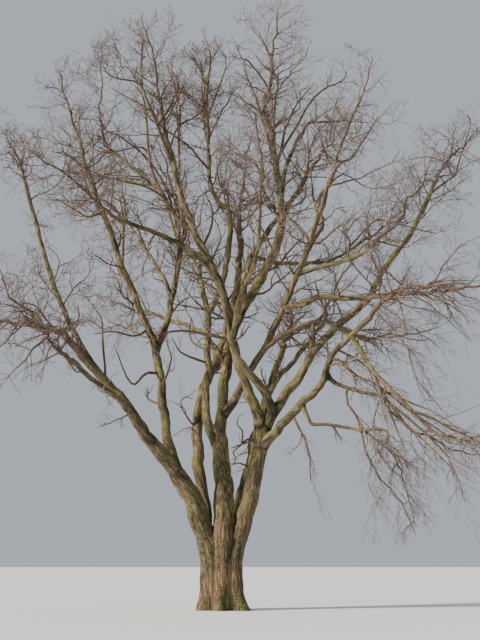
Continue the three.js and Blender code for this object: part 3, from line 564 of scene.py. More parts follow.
class Space:
    """The room that each mass may fill."""

    def __init__(self, limbs, masses):
        beads, owners = [], []
        for owner, line in [(-1, limb) for limb in limbs.values()] + list(enumerate(masses)):
            new = beads_of(line["path"], line["radii"])
            beads += new
            owners += [owner] * len(new)
        self.beads = np.array(beads)
        self.owners = np.array(owners)
        self.middles = np.array([mass["middle"] for mass in masses])
        self.halves = np.array([mass["half"] for mass in masses])
        self.sizes = self.halves.mean(axis=1)

    def holds(self, point, number, radius):
        if np.linalg.norm((point - self.middles[number]) / self.halves[number]) > 1:
            return False
        near = ((point - self.middles) ** 2).sum(axis=1) - self.sizes ** 2
        apart = np.linalg.norm(self.middles[number] - self.middles, axis=1)
        free = near[number] + 2 * (radius + SPACE_MARGIN) * apart < near
        free[number] = True
        return free.all()

    def touches(self, point, number, radius):
        reach = self.beads[:, 3] + radius + TWIG_CLEARANCE
        close = ((self.beads[:, :3] - point) ** 2).sum(axis=1) < reach ** 2
        return (close & (self.owners != number)).any()

    def fits(self, path, number, radius):
        for before, after in zip(path[:-1], path[1:]):
            if not self.holds(after, number, radius) or self.touches(after, number, radius):
                return False
            if self.touches((before + after) / 2, number, radius):
                return False
        return self.holds(path[0], number, radius)


# Side twigs at the golden angle round a parent twig, as in the source of the solids
def branch(path, radii, full, rule, mass, space):
    twigs = []
    draw = mass["draw"]
    turn = draw() * 2 * math.pi
    for k in range(rule["count"]):
        turn += GOLDEN_ANGLE
        t = rule["first"] + (rule["last"] - rule["first"]) * k / (rule["count"] - 1)
        i, f = step_at(t, len(path) - 1)
        root = path[i] * (1 - f) + path[i + 1] * f
        heading = turned(unit(path[i + 1] - path[i]), turn, rule["spread"])
        thick = max((radii[i] * (1 - f) + radii[i + 1] * f) * rule["thick"], THINNEST_ROOT)
        length = full * rule["length"] * (1 - rule["fade"] * t)
        for _ in range(FIT_TRIES):
            if length <= SHORTEST_TWIG:
                break
            way = heading
            line = [root]
            for _ in range(rule["steps"]):
                way = unit(way + chance(draw) * rule["kink"] + UP * mass["pull"])
                line.append(line[-1] + way * length / rule["steps"])
            if space.fits(line, mass["number"], thick):
                slim = thick * (1 - TWIG_TAPER * np.arange(rule["steps"] + 1) / rule["steps"])
                slim[-1] = 0
                twigs.append(dict(path=np.array(line), radii=slim, length=length, at=t,
                                  home=mass["number"]))
                break
            length *= SHRINK
    return twigs


# The twigs that the solids carry, grown again by the same rule. Each has the number of its parent
# among those of its own order.
def rule_twigs(masses, space):
    sides, sprays = [], []
    for mass in masses:
        full = np.linalg.norm(mass["path"][-1] - mass["path"][0])
        for side in branch(mass["path"], mass["radii"], full, SIDE, mass, space):
            for spray in branch(side["path"], side["radii"], side["length"], SPRAY, mass, space):
                sprays.append(dict(spray, parent=len(sides)))
            sides.append(dict(side, parent=mass["number"]))
    return sides, sprays


# Smooth noise from about -1 to 1 at many points
def noise(points, seed=0):
    cell = np.floor(points).astype(np.int64)
    part = points - cell
    ease = part ** 3 * (part * (part * 6 - 15) + 10)
    total = np.zeros(len(points))
    for corner in itertools.product((0, 1), repeat=3):
        at = cell + corner
        h = (at[:, 0] * 73856093) ^ (at[:, 1] * 19349663) ^ (at[:, 2] * 83492791) ^ (seed * 2654435)
        h = (h ^ (h >> 13)) * 1274126177 & 0xFFFFFFFF
        h = h ^ (h >> 16)
        slope = np.stack([h & 1023, (h >> 10) & 1023, (h >> 20) & 1023], axis=1) / 511.5 - 1
        value = ((part - corner) * slope).sum(axis=1)
        total += value * np.prod(np.where(corner, ease, 1 - ease), axis=1)
    return total * 1.5


# The pattern of the bark's furrows, drawn out along the limb. out is the offset from the limb's
# middle line, and run the distance along it.
def bark_grain(out, run):
    return out * GROOVE_SCALE + (run * GROOVE_SCALE * GROOVE_STRETCH)[:, None] * unit(np.ones(3))


# The height of the bark over a smooth limb, and its relief, by which the colours paint shade into the
# furrows
def bark_height(place, grain, radius):
    plate = np.clip(np.abs(noise(grain, 1)) * PLATE_GAIN, 0, 1) ** PLATE_POWER
    relief = plate + noise(grain * ROUGH_SCALE, 2) * ROUGH_SHARE
    share = np.clip(radius / FULL_RADIUS, LEAST_DEPTH, 1) ** DEPTH_POWER
    lump = sum(noise(place * scale, seed) * depth * radius for scale, seed, depth in LUMPS)
    return (relief - GROOVE_LEVEL) * GROOVE_DEPTH * share + lump, relief


# Meshes from arrays
def linked(name, data):
    obj = bpy.data.objects.new(name, data)
    bpy.context.scene.collection.objects.link(obj)
    return obj


def add_layers(mesh, layers):
    for key, values in layers.items():
        kind, field = ("FLOAT_VECTOR", "vector") if values.ndim == 2 else ("FLOAT", "value")
        layer = mesh.attributes.new(key, kind, "POINT")
        layer.data.foreach_set(field, values.astype(np.float32).ravel())


def mesh_object(name, parts, tone=None, **layers):
    """Several parts as one mesh: each holds vertices, quads and triangles."""
    verts, quads, tris = ([part[k] for part in parts] for k in range(3))
    starts = np.cumsum([0] + [len(v) for v in verts])
    verts = np.concatenate(verts)
    quads = np.concatenate([q + start for q, start in zip(quads, starts)])
    tris = np.concatenate([t + start for t, start in zip(tris, starts)])
    mesh = bpy.data.meshes.new(name)
    mesh.vertices.add(len(verts))
    mesh.vertices.foreach_set("co", verts.astype(np.float32).ravel())
    loops = np.concatenate([quads.ravel(), tris.ravel()]).astype(np.int32)
    first = np.concatenate([np.arange(len(quads)) * 4, len(quads) * 4 + np.arange(len(tris)) * 3])
    mesh.loops.add(len(loops))
    mesh.loops.foreach_set("vertex_index", loops)
    mesh.polygons.add(len(first))
    mesh.polygons.foreach_set("loop_start", first.astype(np.int32))
    if tone is not None:
        mesh.polygons.foreach_set("material_index", tone.astype(np.int32))
    mesh.polygons.foreach_set("use_smooth", np.ones(len(first), bool))
    add_layers(mesh, layers)
    mesh.update(calc_edges=True)
    mesh.validate()
    return linked(name, mesh)


# Directions out from many paths at once, in rings that are carried along them
def spokes(path, sides):
    tangent = unit(np.gradient(path, axis=1))
    across = np.empty_like(path)
    across[:, 0] = sideways(tangent[:, 0])
    for j in range(1, path.shape[1]):
        v = across[:, j - 1]
        across[:, j] = unit(v - (v * tangent[:, j]).sum(axis=1, keepdims=True) * tangent[:, j])
    turn = 2 * np.pi * np.arange(sides)[:, None] / sides
    return np.cos(turn) * across[:, :, None] + np.sin(turn) * np.cross(tangent, across)[:, :, None]


def ring_quads(rings, sides):
    j, i = np.meshgrid(np.arange(rings - 1), np.arange(sides), indexing="ij")
    a, b = j * sides + i, j * sides + (i + 1) % sides
    return np.stack([a, b, b + sides, a + sides], axis=-1).reshape(-1, 4)


# Many tapering twigs at once; each closes to a point at its tip
def tubes(path, radius, sides):
    n, k, _ = path.shape
    rings = path[:, :-1, None] + radius[:, :-1, None, None] * spokes(path, sides)[:, :-1]
    verts = np.concatenate([rings.reshape(n, -1, 3), path[:, -1:]], axis=1)
    i = np.arange(sides)
    last = (k - 2) * sides
    tip = np.stack([last + i, last + (i + 1) % sides, np.full(sides, last + sides)], axis=-1)
    base = (np.arange(n) * verts.shape[1])[:, None, None]
    return (verts.reshape(-1, 3), (ring_quads(k - 1, sides) + base).reshape(-1, 4),
            (tip + base).reshape(-1, 3))


# Several batches of twigs in one mesh, each face with the tone of its shoot
def twig_mesh(name, batches):
    parts, tones = [], []
    for path, radius, sides, tone in batches:
        parts.append(tubes(path, radius, sides))
        tones.append([np.repeat(tone, len(faces) // len(path)) for faces in parts[-1][1:]])
    return mesh_object(name, parts, np.concatenate([np.concatenate(kind) for kind in zip(*tones)]))


def closed_faces(rings, sides):
    ends = [range(sides - 1, -1, -1), range((rings - 1) * sides, rings * sides)]
    return ring_quads(rings, sides).tolist() + [list(end) for end in ends]


# Limb skins. A line holds a limb's path in close steps, its run and radius, the skin's radius,
# and how many of its places lie in the lower skin.
def limb_lines(limbs):
    lines = {}
    for name, limb in limbs.items():
        t = np.linspace(0, 1, int(limb["length"] / LINE_STEP))
        path = curve_at(limb["points"], t)
        run = np.concatenate([[0], np.linalg.norm(np.diff(path, axis=0), axis=1).cumsum()])
        radius = along(limb["thick"], t) / 2
        held = np.clip(np.minimum(run, run[-1] - run) / LIMB_HELD, 0, 1)
        crook = np.zeros(path.shape)
        for scale, seed, share in CROOK_WAVES:
            waves = [noise(path * scale / CROOK_LENGTH, seed + axis) for axis in range(3)]
            crook += np.stack(waves, axis=1) * share
        path = path + crook * (np.minimum(radius * CROOK, MOST_CROOK) * held)[:, None]
        above = np.append(path[:, 2] > SKIN_TOP, True)
        low = above.argmax() if path[0, 2] < SKIN_TOP - SKIN_LEAST else 0
        lines[name] = dict(path=path, run=run, radius=radius, low=low,
                           skin=radius * collar(limb["hold"], run, radius))
    return lines


def collar(hold, run, radius):
    """A limb swells where it leaves its parent, up to the parent's own thickness."""
    if not hold:
        return 1
    swell = min(COLLAR["most"], max(hold * COLLAR["share"] / radius[0] - 1, COLLAR["least"]))
    return 1 + swell * np.exp(-np.maximum(run - hold * COLLAR["start"], 0) / (hold * COLLAR["fade"]))


def lobe_radius(limb):
    return LOBE_RADIUS * limb["thick"][0] / LOBE_THICK


def to_ground(limb, path, run, radius):
    """A stem's line is carried straight down inside the trunk."""
    if limb["parent"]:
        return path, run, radius
    down = np.arange(-BELOW_GROUND, path[0, 2] - TRUNK_STEP / 2, TRUNK_STEP)
    foot = np.repeat(path[:1], len(down), axis=0)
    foot[:, 2] = down
    lobe = np.full(len(down), lobe_radius(limb))
    return np.vstack([foot, path]), np.append(down - path[0, 2], run), np.append(lobe, radius)


# The trunk's outline at a height holds every stem, softly joined
def trunk_radius(angle, height, limbs):
    x, y = np.cos(angle), np.sin(angle)
    total = 0
    for limb in limbs.values():
        if limb["parent"]:
            continue
        foot, first = limb["points"][:2]
        t = max((height - foot[2]) / (first[2] - foot[2]), 0)
        centre = foot + (first - foot) * t
        radius = along(limb["thick"], t / (len(limb["points"]) - 1)) / 2 if t else lobe_radius(limb)
        out = centre[0] * x + centre[1] * y
        off = centre[0] * y - centre[1] * x
        reach = out + np.sqrt(np.maximum(radius ** 2 - off ** 2, 0))
        total = total + np.maximum(reach, 0) ** LOBE_SOFTNESS
    flare = max(1 - max(height, 0) / FLARE_HEIGHT, 0) ** FLARE_POWER
    toes = FLARE + ROOT_LOBE_DEPTH * np.cos(angle * ROOT_LOBES + ROOT_TURN)
    roots = toes * (1 + ROOT_LEAN * x)
    narrow = np.clip((height - SKIN_NARROWS) / (CROTCH_HEIGHT - SKIN_NARROWS), 0, 1)
    cover = TRUNK_COVER + (SKIN_COVER - TRUNK_COVER) * narrow
    return total ** (1 / LOBE_SOFTNESS) * cover + flare * roots


def trunk_shell(limbs):
    angle = 2 * np.pi * np.arange(TRUNK_SIDES) / TRUNK_SIDES
    levels = [(h, 1) for h in np.arange(-BELOW_GROUND, CROTCH_HEIGHT, TRUNK_STEP)]
    levels += [(CROTCH_HEIGHT + rise * DOME_HEIGHT, scale) for rise, scale in DOME]
    verts = []
    for height, scale in levels:
        r = trunk_radius(angle, min(height, CROTCH_HEIGHT), limbs) * scale
        verts.append(np.stack([r * np.cos(angle), r * np.sin(angle), r * 0 + height], axis=1))
    return np.concatenate(verts), closed_faces(len(levels), TRUNK_SIDES)


def lower_skin(limbs, lines):
    parts = [trunk_shell(limbs)]
    for name, line in lines.items():
        low = line["low"]
        if not low:
            continue
        radius = line["skin"][:low].copy()
        if low < len(line["path"]):
            radius[-SKIN_LAP:] *= np.linspace(1, SKIN_TAPER, SKIN_LAP)
        path, _, radius = to_ground(limbs[name], line["path"][:low], line["run"][:low], radius)
        rings = path[:, None] + radius[:, None, None] * spokes(path[None], SKIN_SIDES)[0]
        parts.append((rings.reshape(-1, 3), closed_faces(len(path), SKIN_SIDES)))
    verts, faces = [], []
    for points, rims in parts:
        faces += [[v + len(verts) for v in face] for face in rims]
        verts += points.tolist()
    mesh = bpy.data.meshes.new("rough_skin")
    mesh.from_pydata(verts, [], faces)
    rough = linked("rough_skin", mesh)
    remesh = rough.modifiers.new("voxels", "REMESH")
    remesh.mode = "VOXEL"
    remesh.voxel_size = SKIN_VOXEL
    smooth = rough.modifiers.new("smooth", "SMOOTH")
    smooth.factor = 0.5
    smooth.iterations = SKIN_SMOOTH
    graph = bpy.context.evaluated_depsgraph_get()
    mesh = bpy.data.meshes.new_from_object(rough.evaluated_get(graph))
    bpy.data.objects.remove(rough)
    return mesh


def nearest_lines(points, limbs, lines):
    """For each point its own limb's offset, run and radius, and how far it is from a seam."""
    count = len(points)
    best, second = np.full((2, count), np.inf)
    out, run, radius = np.zeros((count, 3)), np.zeros(count), np.ones(count)
    for name, line in lines.items():
        if not line["low"]:
            continue
        low = line["path"][:, 2] < SKIN_TOP + SKIN_REACH
        parts = (line[key][low] for key in ("path", "run", "radius"))
        path, runs, radii = to_ground(limbs[name], *parts)
        gap, index = np.empty(count), np.empty(count, int)
        for part in range(0, count, 8000):
            block = slice(part, part + 8000)
            away = np.linalg.norm(points[block, None] - path[None], axis=2) - radii
            index[block] = away.argmin(axis=1)
            gap[block] = away.min(axis=1)
        closer = gap < best
        second = np.where(closer, best, np.minimum(second, gap))
        best = np.where(closer, gap, best)
        out[closer] = (points - path[index])[closer]
        run[closer] = runs[index][closer]
        radius[closer] = radii[index][closer]
    return out, run, radius, np.clip((second - best) / SEAM_WIDTH, 0, 1)


def bark_lower(limbs, lines):
    mesh = lower_skin(limbs, lines)
    points, normals = np.empty((2, len(mesh.vertices) * 3), np.float32)
    mesh.vertices.foreach_get("co", points)
    mesh.vertices.foreach_get("normal", normals)
    points = points.reshape(-1, 3).astype(float)
    out, run, radius, clear = nearest_lines(points, limbs, lines)
    grain = bark_grain(out, run)
    height, relief = bark_height(points, grain, radius)
    points += normals.reshape(-1, 3) * (height * (SEAM_HEIGHT + (1 - SEAM_HEIGHT) * clear))[:, None]
    # Near the seams the relief is set low, so the colours paint a dark line of shade between the stems,
    # fading out towards the ground
    shallow = np.clip(1 - (points[:, 2] - SEAM_FADES) / SEAM_FADES, 0, 1)
    mesh.vertices.foreach_set("co", points.astype(np.float32).ravel())
    add_layers(mesh, dict(grain=grain, relief=relief * clear + (1 - clear) * shallow * SEAM_RELIEF))
    flat_foot(mesh)
    mesh.polygons.foreach_set("use_smooth", np.ones(len(mesh.polygons), bool))
    return linked("bark_trunk_and_stems", mesh)


def flat_foot(mesh):
    """Cuts the trunk flat at ground level."""
    work = bmesh.new()
    work.from_mesh(mesh)
    everything = work.verts[:] + work.edges[:] + work.faces[:]
    cut = bmesh.ops.bisect_plane(work, geom=everything, plane_co=(0, 0, 0), plane_no=(0, 0, 1),
                                 clear_inner=True)
    rim = [e for e in cut["geom_cut"] if isinstance(e, bmesh.types.BMEdge) and e.is_boundary]
    bmesh.ops.holes_fill(work, edges=rim)
    work.to_mesh(mesh)
    work.free()


def bark_tube(path, run, radius):
    """Rings of one limb with its bark, as vertices, quads, triangles, grain and relief."""
    sides = int(np.clip(round(2 * math.pi * radius.mean() / BARK_STEP), *TUBE_SIDES))
    spoke = spokes(path[None], sides)[0]
    out = (spoke * radius[:, None, None]).reshape(-1, 3)
    place = np.repeat(path, sides, axis=0) + out
    grain = bark_grain(out, np.repeat(run, sides))
    height, relief = bark_height(place, grain, np.repeat(radius, sides))
    verts = place + spoke.reshape(-1, 3) * height[:, None]
    i = np.arange(sides)
    last = len(verts) - sides
    ends = np.concatenate([np.stack([i * 0 + len(verts), (i + 1) % sides, i], axis=1),
                           np.stack([i * 0 + len(verts) + 1, last + i, last + (i + 1) % sides], axis=1)])
    return (np.vstack([verts, path[:1], path[-1:]]), ring_quads(len(path), sides), ends,
            np.vstack([grain, grain[:1], grain[-1:]]), np.append(relief, [0.5, 0.5]))


def bark_upper(lines):
    parts = []
    for line in lines.values():
        start, low, radius = 0, line["low"], line["skin"].copy()
        if low == len(radius):
            continue
        if low:
            start = low - SKIN_LAP
            radius[start:low] *= np.linspace(SKIN_TAPER, 1, SKIN_LAP)
        parts.append(bark_tube(line["path"][start:], line["run"][start:], radius[start:]))
    grain, relief = (np.concatenate([part[k] for part in parts]) for k in (3, 4))
    return mesh_object("bark_boughs", parts, grain=grain, relief=relief)


# Growth in arrays: each shoot's path, radii, home mass or -1, pull upwards and tone
def shoots_of(path, radius, home, pull, tone=None):
    return dict(path=path, radius=radius, home=home, pull=pull, tone=home * 0 if tone is None else tone)


def gather(batches):
    return {key: np.concatenate([shoots[key] for shoots in batches]) for key in batches[0]}


def weather(paths, steps, wobble):
    """A few straight steps made into a crooked, smooth line with the same ends."""
    t = np.linspace(0, 1, steps + 1)
    line = np.stack([curve_at(path, t) for path in paths])
    drift = RNG.normal(size=line.shape).cumsum(axis=1)
    drift -= drift[:, :1]
    drift -= drift[:, -1:] * t[:, None]
    return line + drift * (wobble * path_length(line) / math.sqrt(steps))[:, None, None]


def tapered(root, steps, tip=0.3):
    return np.array(root)[:, None] * (1 - (1 - tip) * np.linspace(0, 1, steps + 1))


def grown(root, way, stride, rule, drift):
    """Steps on from a root, bent a little by chance and steadily by a drift."""
    line = [root]
    for _ in range(rule["steps"]):
        way = unit(way + RNG.normal(size=way.shape) * rule["kink"] * KINK_SHARE + drift)
        line.append(line[-1] + way * stride)
    return np.stack(line, axis=-2)


def into_space(line, home, space):
    """Shrinks lines about their roots until they lie in their mass's space or the crown's box."""
    inside = np.zeros(len(line), bool)
    owned = home >= 0
    middle = np.where(owned[:, None], space.middles[home], 0)
    half = np.where(owned[:, None], space.halves[home], 1) * SPACE_OVER
    for scale in SPACE_SCALES:
        trial = line[:, :1] + (line - line[:, :1]) * scale
        ends = trial[:, [trial.shape[1] // 2, -1]]
        away = np.linalg.norm((ends - middle[:, None]) / half[:, None], axis=2).max(axis=1)
        boxed = ((ends > LOW_LIMIT) & (ends < HIGH_LIMIT)).all(axis=(1, 2))
        boxed &= ends[..., 2].min(axis=1) > LEAST_HEIGHT
        good = boxed & (~owned | (away < 1)) & ~inside
        line[good] = trial[good]
        inside |= good
    return line, inside


def fullness(points):
    outward = np.linalg.norm((points - CROWN_MIDDLE) / CROWN_HALF, axis=1)
    share = np.clip((outward - BARE_WITHIN) / (FULL_BEYOND - BARE_WITHIN), LEAST_FILL, 1)
    for x, z, reach, least in OPENINGS:
        near = np.hypot(points[:, 0] - x, points[:, 2] - z) / reach
        share = share * np.clip(least + (1 - least) * near ** 2, least, 1)
    return share


def sprout(parents, rule, space, thinned=False):
    """Side shoots at the golden angle round every parent, shrunk into their space or dropped."""
    path = parents["path"]
    n, k, _ = path.shape
    c = rule["count"]
    step = (rule["last"] - rule["first"]) / c
    t = rule["first"] + step * (np.arange(c) + 0.5)
    t = t + RNG.uniform(-PLACE_LUCK, PLACE_LUCK, (n, c)) * step
    i, f = step_at(t, k - 1)
    f = f[..., None]
    rows = np.arange(n)[:, None]
    low, high = path[rows, i], path[rows, i + 1]
    root = (low * (1 - f) + high * f).reshape(-1, 3)
    turn = (RNG.uniform(0, 2 * np.pi, (n, 1)) + GOLDEN_ANGLE * np.arange(c)).reshape(-1, 1)
    spread = rule["spread"] * RNG.uniform(*SPREAD_LUCK, (n * c, 1))
    way = turned(unit(high - low).reshape(-1, 3), turn, spread)
    full = np.minimum(path_length(path)[:, None], LONGEST_PARENT)
    length = full * rule["length"] * (1 - rule["fade"] * t) * RNG.uniform(*LENGTH_LUCK, (n, c))
    thick = np.maximum(parents["radius"][rows, i] * rule["thick"], rule["least"]).ravel()
    home, pull, tone = (np.repeat(parents[key], c) for key in ("home", "pull", "tone"))
    away = unit(root * (1, 1, 0)) * np.where(pull < HANGS_BELOW, SWEEP, 0)[:, None]
    drift = UP * pull[:, None] * (PULL_STEPS / rule["steps"]) + away
    line = grown(root, way, length.reshape(-1, 1) / rule["steps"], rule, drift)
    line, inside = into_space(line, home, space)
    share = fullness(line[:, 0]) if thinned else 1
    chosen = inside & (RNG.random(len(line)) < share)
    return shoots_of(line[chosen], tapered(thick, rule["steps"])[chosen], home[chosen], pull[chosen],
                     tone[chosen])


def stem_shoots(masses):
    paths = []
    for mass in masses:
        path = mass["path"].copy()
        path[0] -= unit(path[1] - path[0]) * STEM_SINK
        paths.append(path)
    path = weather(paths, *CROOKED["stems"])
    radius = tapered([mass["foot"] for mass in masses], CROOKED["stems"][0], STEM["tip"])
    return shoots_of(path, radius, np.arange(len(masses)), np.array([mass["pull"] for mass in masses]))


def rule_shoots(twigs, masses, parents, crooked, least):
    """These twigs made crooked, each with its root on its parent's own crooked line."""
    steps = crooked[0]
    path = weather([twig["path"] for twig in twigs], *crooked)
    line = parents["path"][[twig["parent"] for twig in twigs]]
    i, f = step_at([twig["at"] for twig in twigs], line.shape[1] - 1)
    f = f[:, None]
    rows = np.arange(len(twigs))
    seat = line[rows, i] * (1 - f) + line[rows, i + 1] * f
    path += (seat - path[:, 0])[:, None] * np.linspace(1, 0, steps + 1)[:, None]
    radius = tapered(np.maximum([twig["radii"][0] for twig in twigs], least), steps)
    home = np.array([twig["home"] for twig in twigs])
    return shoots_of(path, radius, home, np.array([masses[number]["pull"] for number in home]))


# Branches at the right hang where they are low, and the others rise a little
def weeping(points, pulls):
    return np.where((points[..., 0] > WEEPS_RIGHT) & (points[..., 2] < WEEPS_BELOW), *pulls)


# Side branches along the outer parts of every limb
def limb_arms(lines, space):
    rule = LIMB_ARMS
    path, root, pull = [], [], []
    for line in lines.values():
        reach = rule["last"] - rule["first"]
        count = max(int(line["run"][-1] * reach / rule["spacing"]), 1)
        turn = RNG.uniform(0, 2 * np.pi)
        for k in range(count):
            turn += GOLDEN_ANGLE
            t = rule["first"] + reach * (k + RNG.uniform(0.1, 0.9)) / count
            i = min(int(t * len(line["path"])), len(line["path"]) - 2)
            at = line["path"][i]
            if RNG.random() > (at[2] - BARE_BELOW) / BARE_FADE:
                continue
            way = turned(unit(line["path"][i + 1] - at), turn, rule["spread"])
            stride = RNG.uniform(*rule["length"]) / rule["steps"]
            pull.append(weeping(at, rule["pulls"]))
            path.append(grown(at, way, stride, rule, UP * pull[-1]))
            root.append(np.clip(line["radius"][i] * rule["thick"], rule["least"], rule["most"]))
    home = np.full(len(path), -1)
    path, inside = into_space(np.array(path), home, space)
    made = shoots_of(path, tapered(root, rule["steps"], rule["tip"]), home, np.array(pull))
    return {key: values[inside] for key, values in made.items()}


def small_branches(lines, stems):
    """The branches of SMALL, each with its root on the nearest line that can carry it."""
    steps = CROOKED["small"][0]
    t = np.linspace(0, 1, steps + 1)
    carriers = [line["path"] for line in lines.values()]
    carriers += [curve_at(stem, np.linspace(0, 1, 90)) for stem in stems["path"]]
    path = []
    for _, *via in SMALL:
        way = curve_at(via, t)
        places = np.concatenate(carriers)
        seat = places[np.linalg.norm(places - way[0], axis=1).argmin()]
        way += (seat - way[0]) * (1 - t)[:, None]
        way = weather([way], *CROOKED["small"])[0]
        carriers.append(curve_at(way, np.linspace(0, 1, 60)))
        path.append(way)
    path = np.array(path)
    radius = tapered([thick / 2 for thick, *_ in SMALL], steps)
    return shoots_of(path, radius, np.full(len(path), -1), weeping(path[:, -1], SMALL_PULLS))


def strands(parents, space):
    """Long shoots that hang side by side, free of their masses' own spaces."""
    chosen = {key: values[parents["pull"] < HANGS_BELOW] for key, values in parents.items()}
    chosen["home"] = chosen["home"] * 0 - 1
    chosen["pull"] = chosen["pull"] * 0 + STRAND_PULL
    return sprout(chosen, STRANDS, space, True)


def deal_tones(shoots):
    """Each shoot takes one of the twig tones, the browner ones more often at the upper left."""
    root = shoots["path"][:, 0]
    brown = BROWN_SHARE - root[:, 0] * BROWN_LEFT + (root[:, 2] - BROWN_HEIGHT) * BROWN_UP
    brown = np.clip(brown, *BROWN_LIMITS)
    luck = RNG.random(len(root))
    rest = np.where(luck < brown + (1 - brown) * GREY_SHARE, 2, 3)
    shoots["tone"] = np.where(luck < brown, 1, rest)


def sector_of(shoots, space, sectors):
    """A shoot belongs to its own mass's sector, or to the nearest one."""
    root = shoots["path"][:, 0]
    nearest = np.linalg.norm(root[:, None] - space.middles[None], axis=2).argmin(axis=1)
    return sectors[np.where(shoots["home"] >= 0, shoots["home"], nearest)]


# Node materials
def paint(code):
    """A colour written as on a screen, made linear."""
    parts = [((code >> shift) & 255) / 255 for shift in (16, 8, 0)]
    return (*[p / 12.92 if p <= 0.04045 else ((p + 0.055) / 1.055) ** 2.4 for p in parts], 1)


def put(tree, socket, value):
    if isinstance(value, bpy.types.NodeSocket):
        tree.links.new(value, socket)
    else:
        socket.default_value = value


def make_node(tree, kind, inputs, **settings):
    node = tree.nodes.new(kind)
    for key, value in settings.items():
        setattr(node, key, value)
    for key, value in inputs.items():
        put(tree, node.inputs[key], value)
    return node


def blended(tree, share, first, second):
    inputs = {0: share, 6: first, 7: second}
    return make_node(tree, "ShaderNodeMix", inputs, data_type="RGBA").outputs[2]


def ranged(tree, value, low, high):
    made = make_node(tree, "ShaderNodeMapRange", {"Value": value, "From Min": low, "From Max": high})
    return made.outputs["Result"]


def spots(tree, where, scale, low, high):
    """Noise turned into a share from 0 to 1."""
    made = make_node(tree, "ShaderNodeTexNoise", {"Vector": where, "Scale": scale, "Detail": 3.0})
    return ranged(tree, made.outputs["Fac"], low, high)


def times(tree, first, second):
    return make_node(tree, "ShaderNodeMath", {0: first, 1: second}, operation="MULTIPLY").outputs[0]


def new_material(name, roughness):
    made = bpy.data.materials.new(name)
    made.use_nodes = True
    surface = made.node_tree.nodes["Principled BSDF"]
    surface.inputs["Roughness"].default_value = roughness
    surface.inputs["Specular IOR Level"].default_value = 0.25
    return made, made.node_tree, surface


def bark_material(name):
    """Warm brown and furrowed at the trunk, olive and mossy on the limbs above, with painted shade darkening
    the furrows and the seams between the stems.
    """
    made, tree, surface = new_material(name, 0.92)
    place = make_node(tree, "ShaderNodeTexCoord", {}).outputs["Object"]
    grain = make_node(tree, "ShaderNodeAttribute", {}, attribute_name="grain").outputs["Vector"]
    relief = make_node(tree, "ShaderNodeAttribute", {}, attribute_name="relief").outputs["Fac"]
    facing = make_node(tree, "ShaderNodeNewGeometry", {}).outputs["Normal"]
    upward = make_node(tree, "ShaderNodeSeparateXYZ", {"Vector": facing}).outputs["Z"]
    height = make_node(tree, "ShaderNodeSeparateXYZ", {"Vector": place}).outputs["Z"]
    high = ranged(tree, height, 1.6, 5.2)
    plain, worn, patch, moss = (blended(tree, high, paint(low), paint(above)) for low, above in (
        (0x7b6148, 0x7c6d4f), (0x534233, 0x4e4434), (0x5e5d42, 0x897d5c), (0x64673f, 0x71713a)))
    colour = blended(tree, spots(tree, place, 1.3, 0.4, 0.62), plain, worn)
    colour = blended(tree, spots(tree, place, 1.7, 0.5, 0.62), colour, patch)
    mossy = times(tree, spots(tree, place, 1.1, 0.46, 0.6), ranged(tree, upward, -0.5, 0.5))
    colour = blended(tree, mossy, colour, moss)
    # A near-black brown, for darker bark at random spots and for the painted shade in the furrows and seams
    dark = paint(0x271f18)
    colour = blended(tree, spots(tree, grain, 1.4, 0.34, 0.6), blended(tree, 0.45, colour, dark), colour)
    pale = times(tree, spots(tree, grain, 2.2, 0.52, 0.72), 0.35)
    colour = blended(tree, pale, colour, paint(0xb5a98c))
    # Painted shade: the bark turns towards near black where the relief is low, in the furrows and along the
    # seams between the stems
    colour = blended(tree, ranged(tree, relief, -0.1, 0.8), dark, colour)
    put(tree, surface.inputs["Base Color"], colour)
    fine = make_node(tree, "ShaderNodeTexNoise", {"Vector": grain, "Scale": 1.6, "Detail": 6.0})
    bump = make_node(tree, "ShaderNodeBump", {"Strength": 1.0, "Distance": 0.05,
                                              "Height": fine.outputs["Fac"]})
    put(tree, surface.inputs["Normal"], bump.outputs["Normal"])
    return made


def branch_material():
    made, tree, surface = new_material("branch_bark", 0.85)
    place = make_node(tree, "ShaderNodeTexCoord", {}).outputs["Object"]
    colour = blended(tree, spots(tree, place, 1.3, 0.4, 0.65), paint(0x6f604a), paint(0x564638))
    colour = blended(tree, spots(tree, place, 9.0, 0.45, 0.7), colour, paint(0x463b31))
    put(tree, surface.inputs["Base Color"], colour)
    return made


def twig_material(name, code):
    made, _, surface = new_material(name, 0.8)
    surface.inputs["Base Color"].default_value = paint(code)
    return made


def dress(piece, materials, nodes):
    for material in materials:
        piece.data.materials.append(material)
    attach(piece, "root")
    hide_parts(*nodes)


# The tree
limbs = make_limbs()
lines = limb_lines(limbs)
masses = make_masses(limbs)
space = Space(limbs, masses)
side_twigs, spray_twigs = rule_twigs(masses, space)
stems = stem_shoots(masses)
sides = rule_shoots(side_twigs, masses, stems, CROOKED["sides"], 0.013)
sprays = rule_shoots(spray_twigs, masses, sides, CROOKED["sprays"], 0.009)
fills = sprout(stems, FILLS, space, True)
arms = limb_arms(lines, space)
forks = sprout(arms, ARM_FORKS, space)
small = small_branches(lines, stems)
small_forks = sprout(small, SMALL_FORKS, space, True)
bearers = ((sides, 8), (fills, 6), (stems, 10), (sprays, 4), (arms, 6), (forks, 4), (small, 6),
           (small_forks, 5))
shoots = gather([sprout(bearer, dict(SHOOTS, count=count), space, True) for bearer, count in bearers]
                + [strands(bearer, space) for bearer in (sides, stems, arms, small)])
deal_tones(shoots)
sprigs = sprout(shoots, SPRIGS, space)
twiglets = sprout(sprigs, TWIGLETS, space)

dress(bark_lower(limbs, lines), [bark_material("trunk_bark")],
      ["trunk"] + [name for name, limb in limbs.items() if not limb["parent"]])
dress(bark_upper(lines), [bark_material("bough_bark")], limbs)

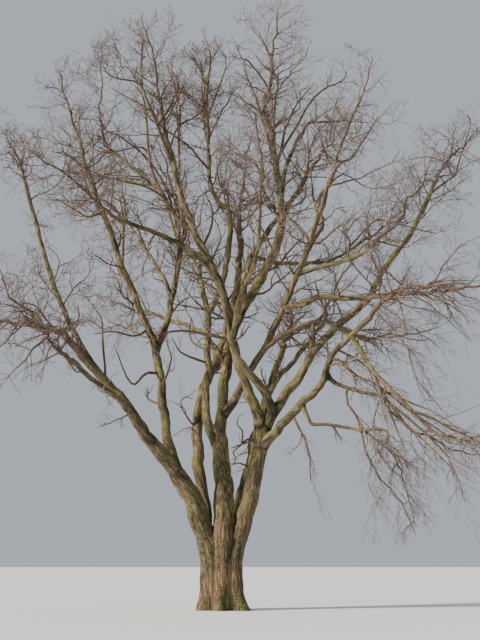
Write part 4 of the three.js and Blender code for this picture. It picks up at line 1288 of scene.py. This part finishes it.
# The crown in sectors round the trunk, each kind of growth with the number of sides of its twigs
crown_materials = [branch_material(), twig_material("twigs_brown", 0x604c3e),
                   twig_material("twigs_grey", 0x6f6366), twig_material("twigs_pale", 0x93837a)]
order = np.argsort([math.atan2(mass["middle"][1], mass["middle"][0]) for mass in masses])
sectors = np.empty(len(masses), int)
sectors[order] = np.arange(len(masses)) * SECTOR_COUNT // len(masses)
kinds = {"crown_branches": [(stems, 9), (sides, 5), (fills, 5), (sprays, 4), (arms, 6), (forks, 4),
                            (small, 6), (small_forks, 4), (shoots, 3)],
         "fine_twigs": [(sprigs, 3), (twiglets, 3)]}
for kind, batches in kinds.items():
    for sector in range(SECTOR_COUNT):
        chosen = []
        for batch, faces in batches:
            pick = sector_of(batch, space, sectors) == sector
            if pick.any():
                chosen.append((batch["path"][pick], batch["radius"][pick], faces, batch["tone"][pick]))
        dress(twig_mesh(f"{kind}_{sector + 1}", chosen), crown_materials,
              [mass["name"] for mass, own in zip(masses, sectors) if own == sector])

# Floor, light and camera
bpy.ops.mesh.primitive_plane_add(size=400)
floor = bpy.context.object
floor.name = "floor"
floor_paint, _, floor_surface = new_material("floor_paint", 0.9)
floor_surface.inputs["Base Color"].default_value = (0.8, 0.8, 0.8, 1)
floor.data.materials.append(floor_paint)

world = bpy.data.worlds.new("plain_sky")
bpy.context.scene.world = world
world.use_nodes = True
world.node_tree.nodes["Background"].inputs["Color"].default_value = (0.8, 0.86, 0.95, 1)
world.node_tree.nodes["Background"].inputs["Strength"].default_value = 0.58

lamp = bpy.data.lights.new("key_light", "SUN")
lamp.energy = 7.6
lamp.angle = 0.12
lamp.color = (1, 0.92, 0.78)
key = linked("key_light", lamp)
key.rotation_euler = Vector(LIGHT_HEADING).to_track_quat("-Z", "Y").to_euler()

lens = bpy.data.cameras.new("camera")
lens.lens = LENS
lens.clip_end = 500
camera = linked("camera", lens)
camera.location = EYE
camera.rotation_euler = (math.radians(90 + PITCH), 0, 0)
bpy.context.scene.camera = camera
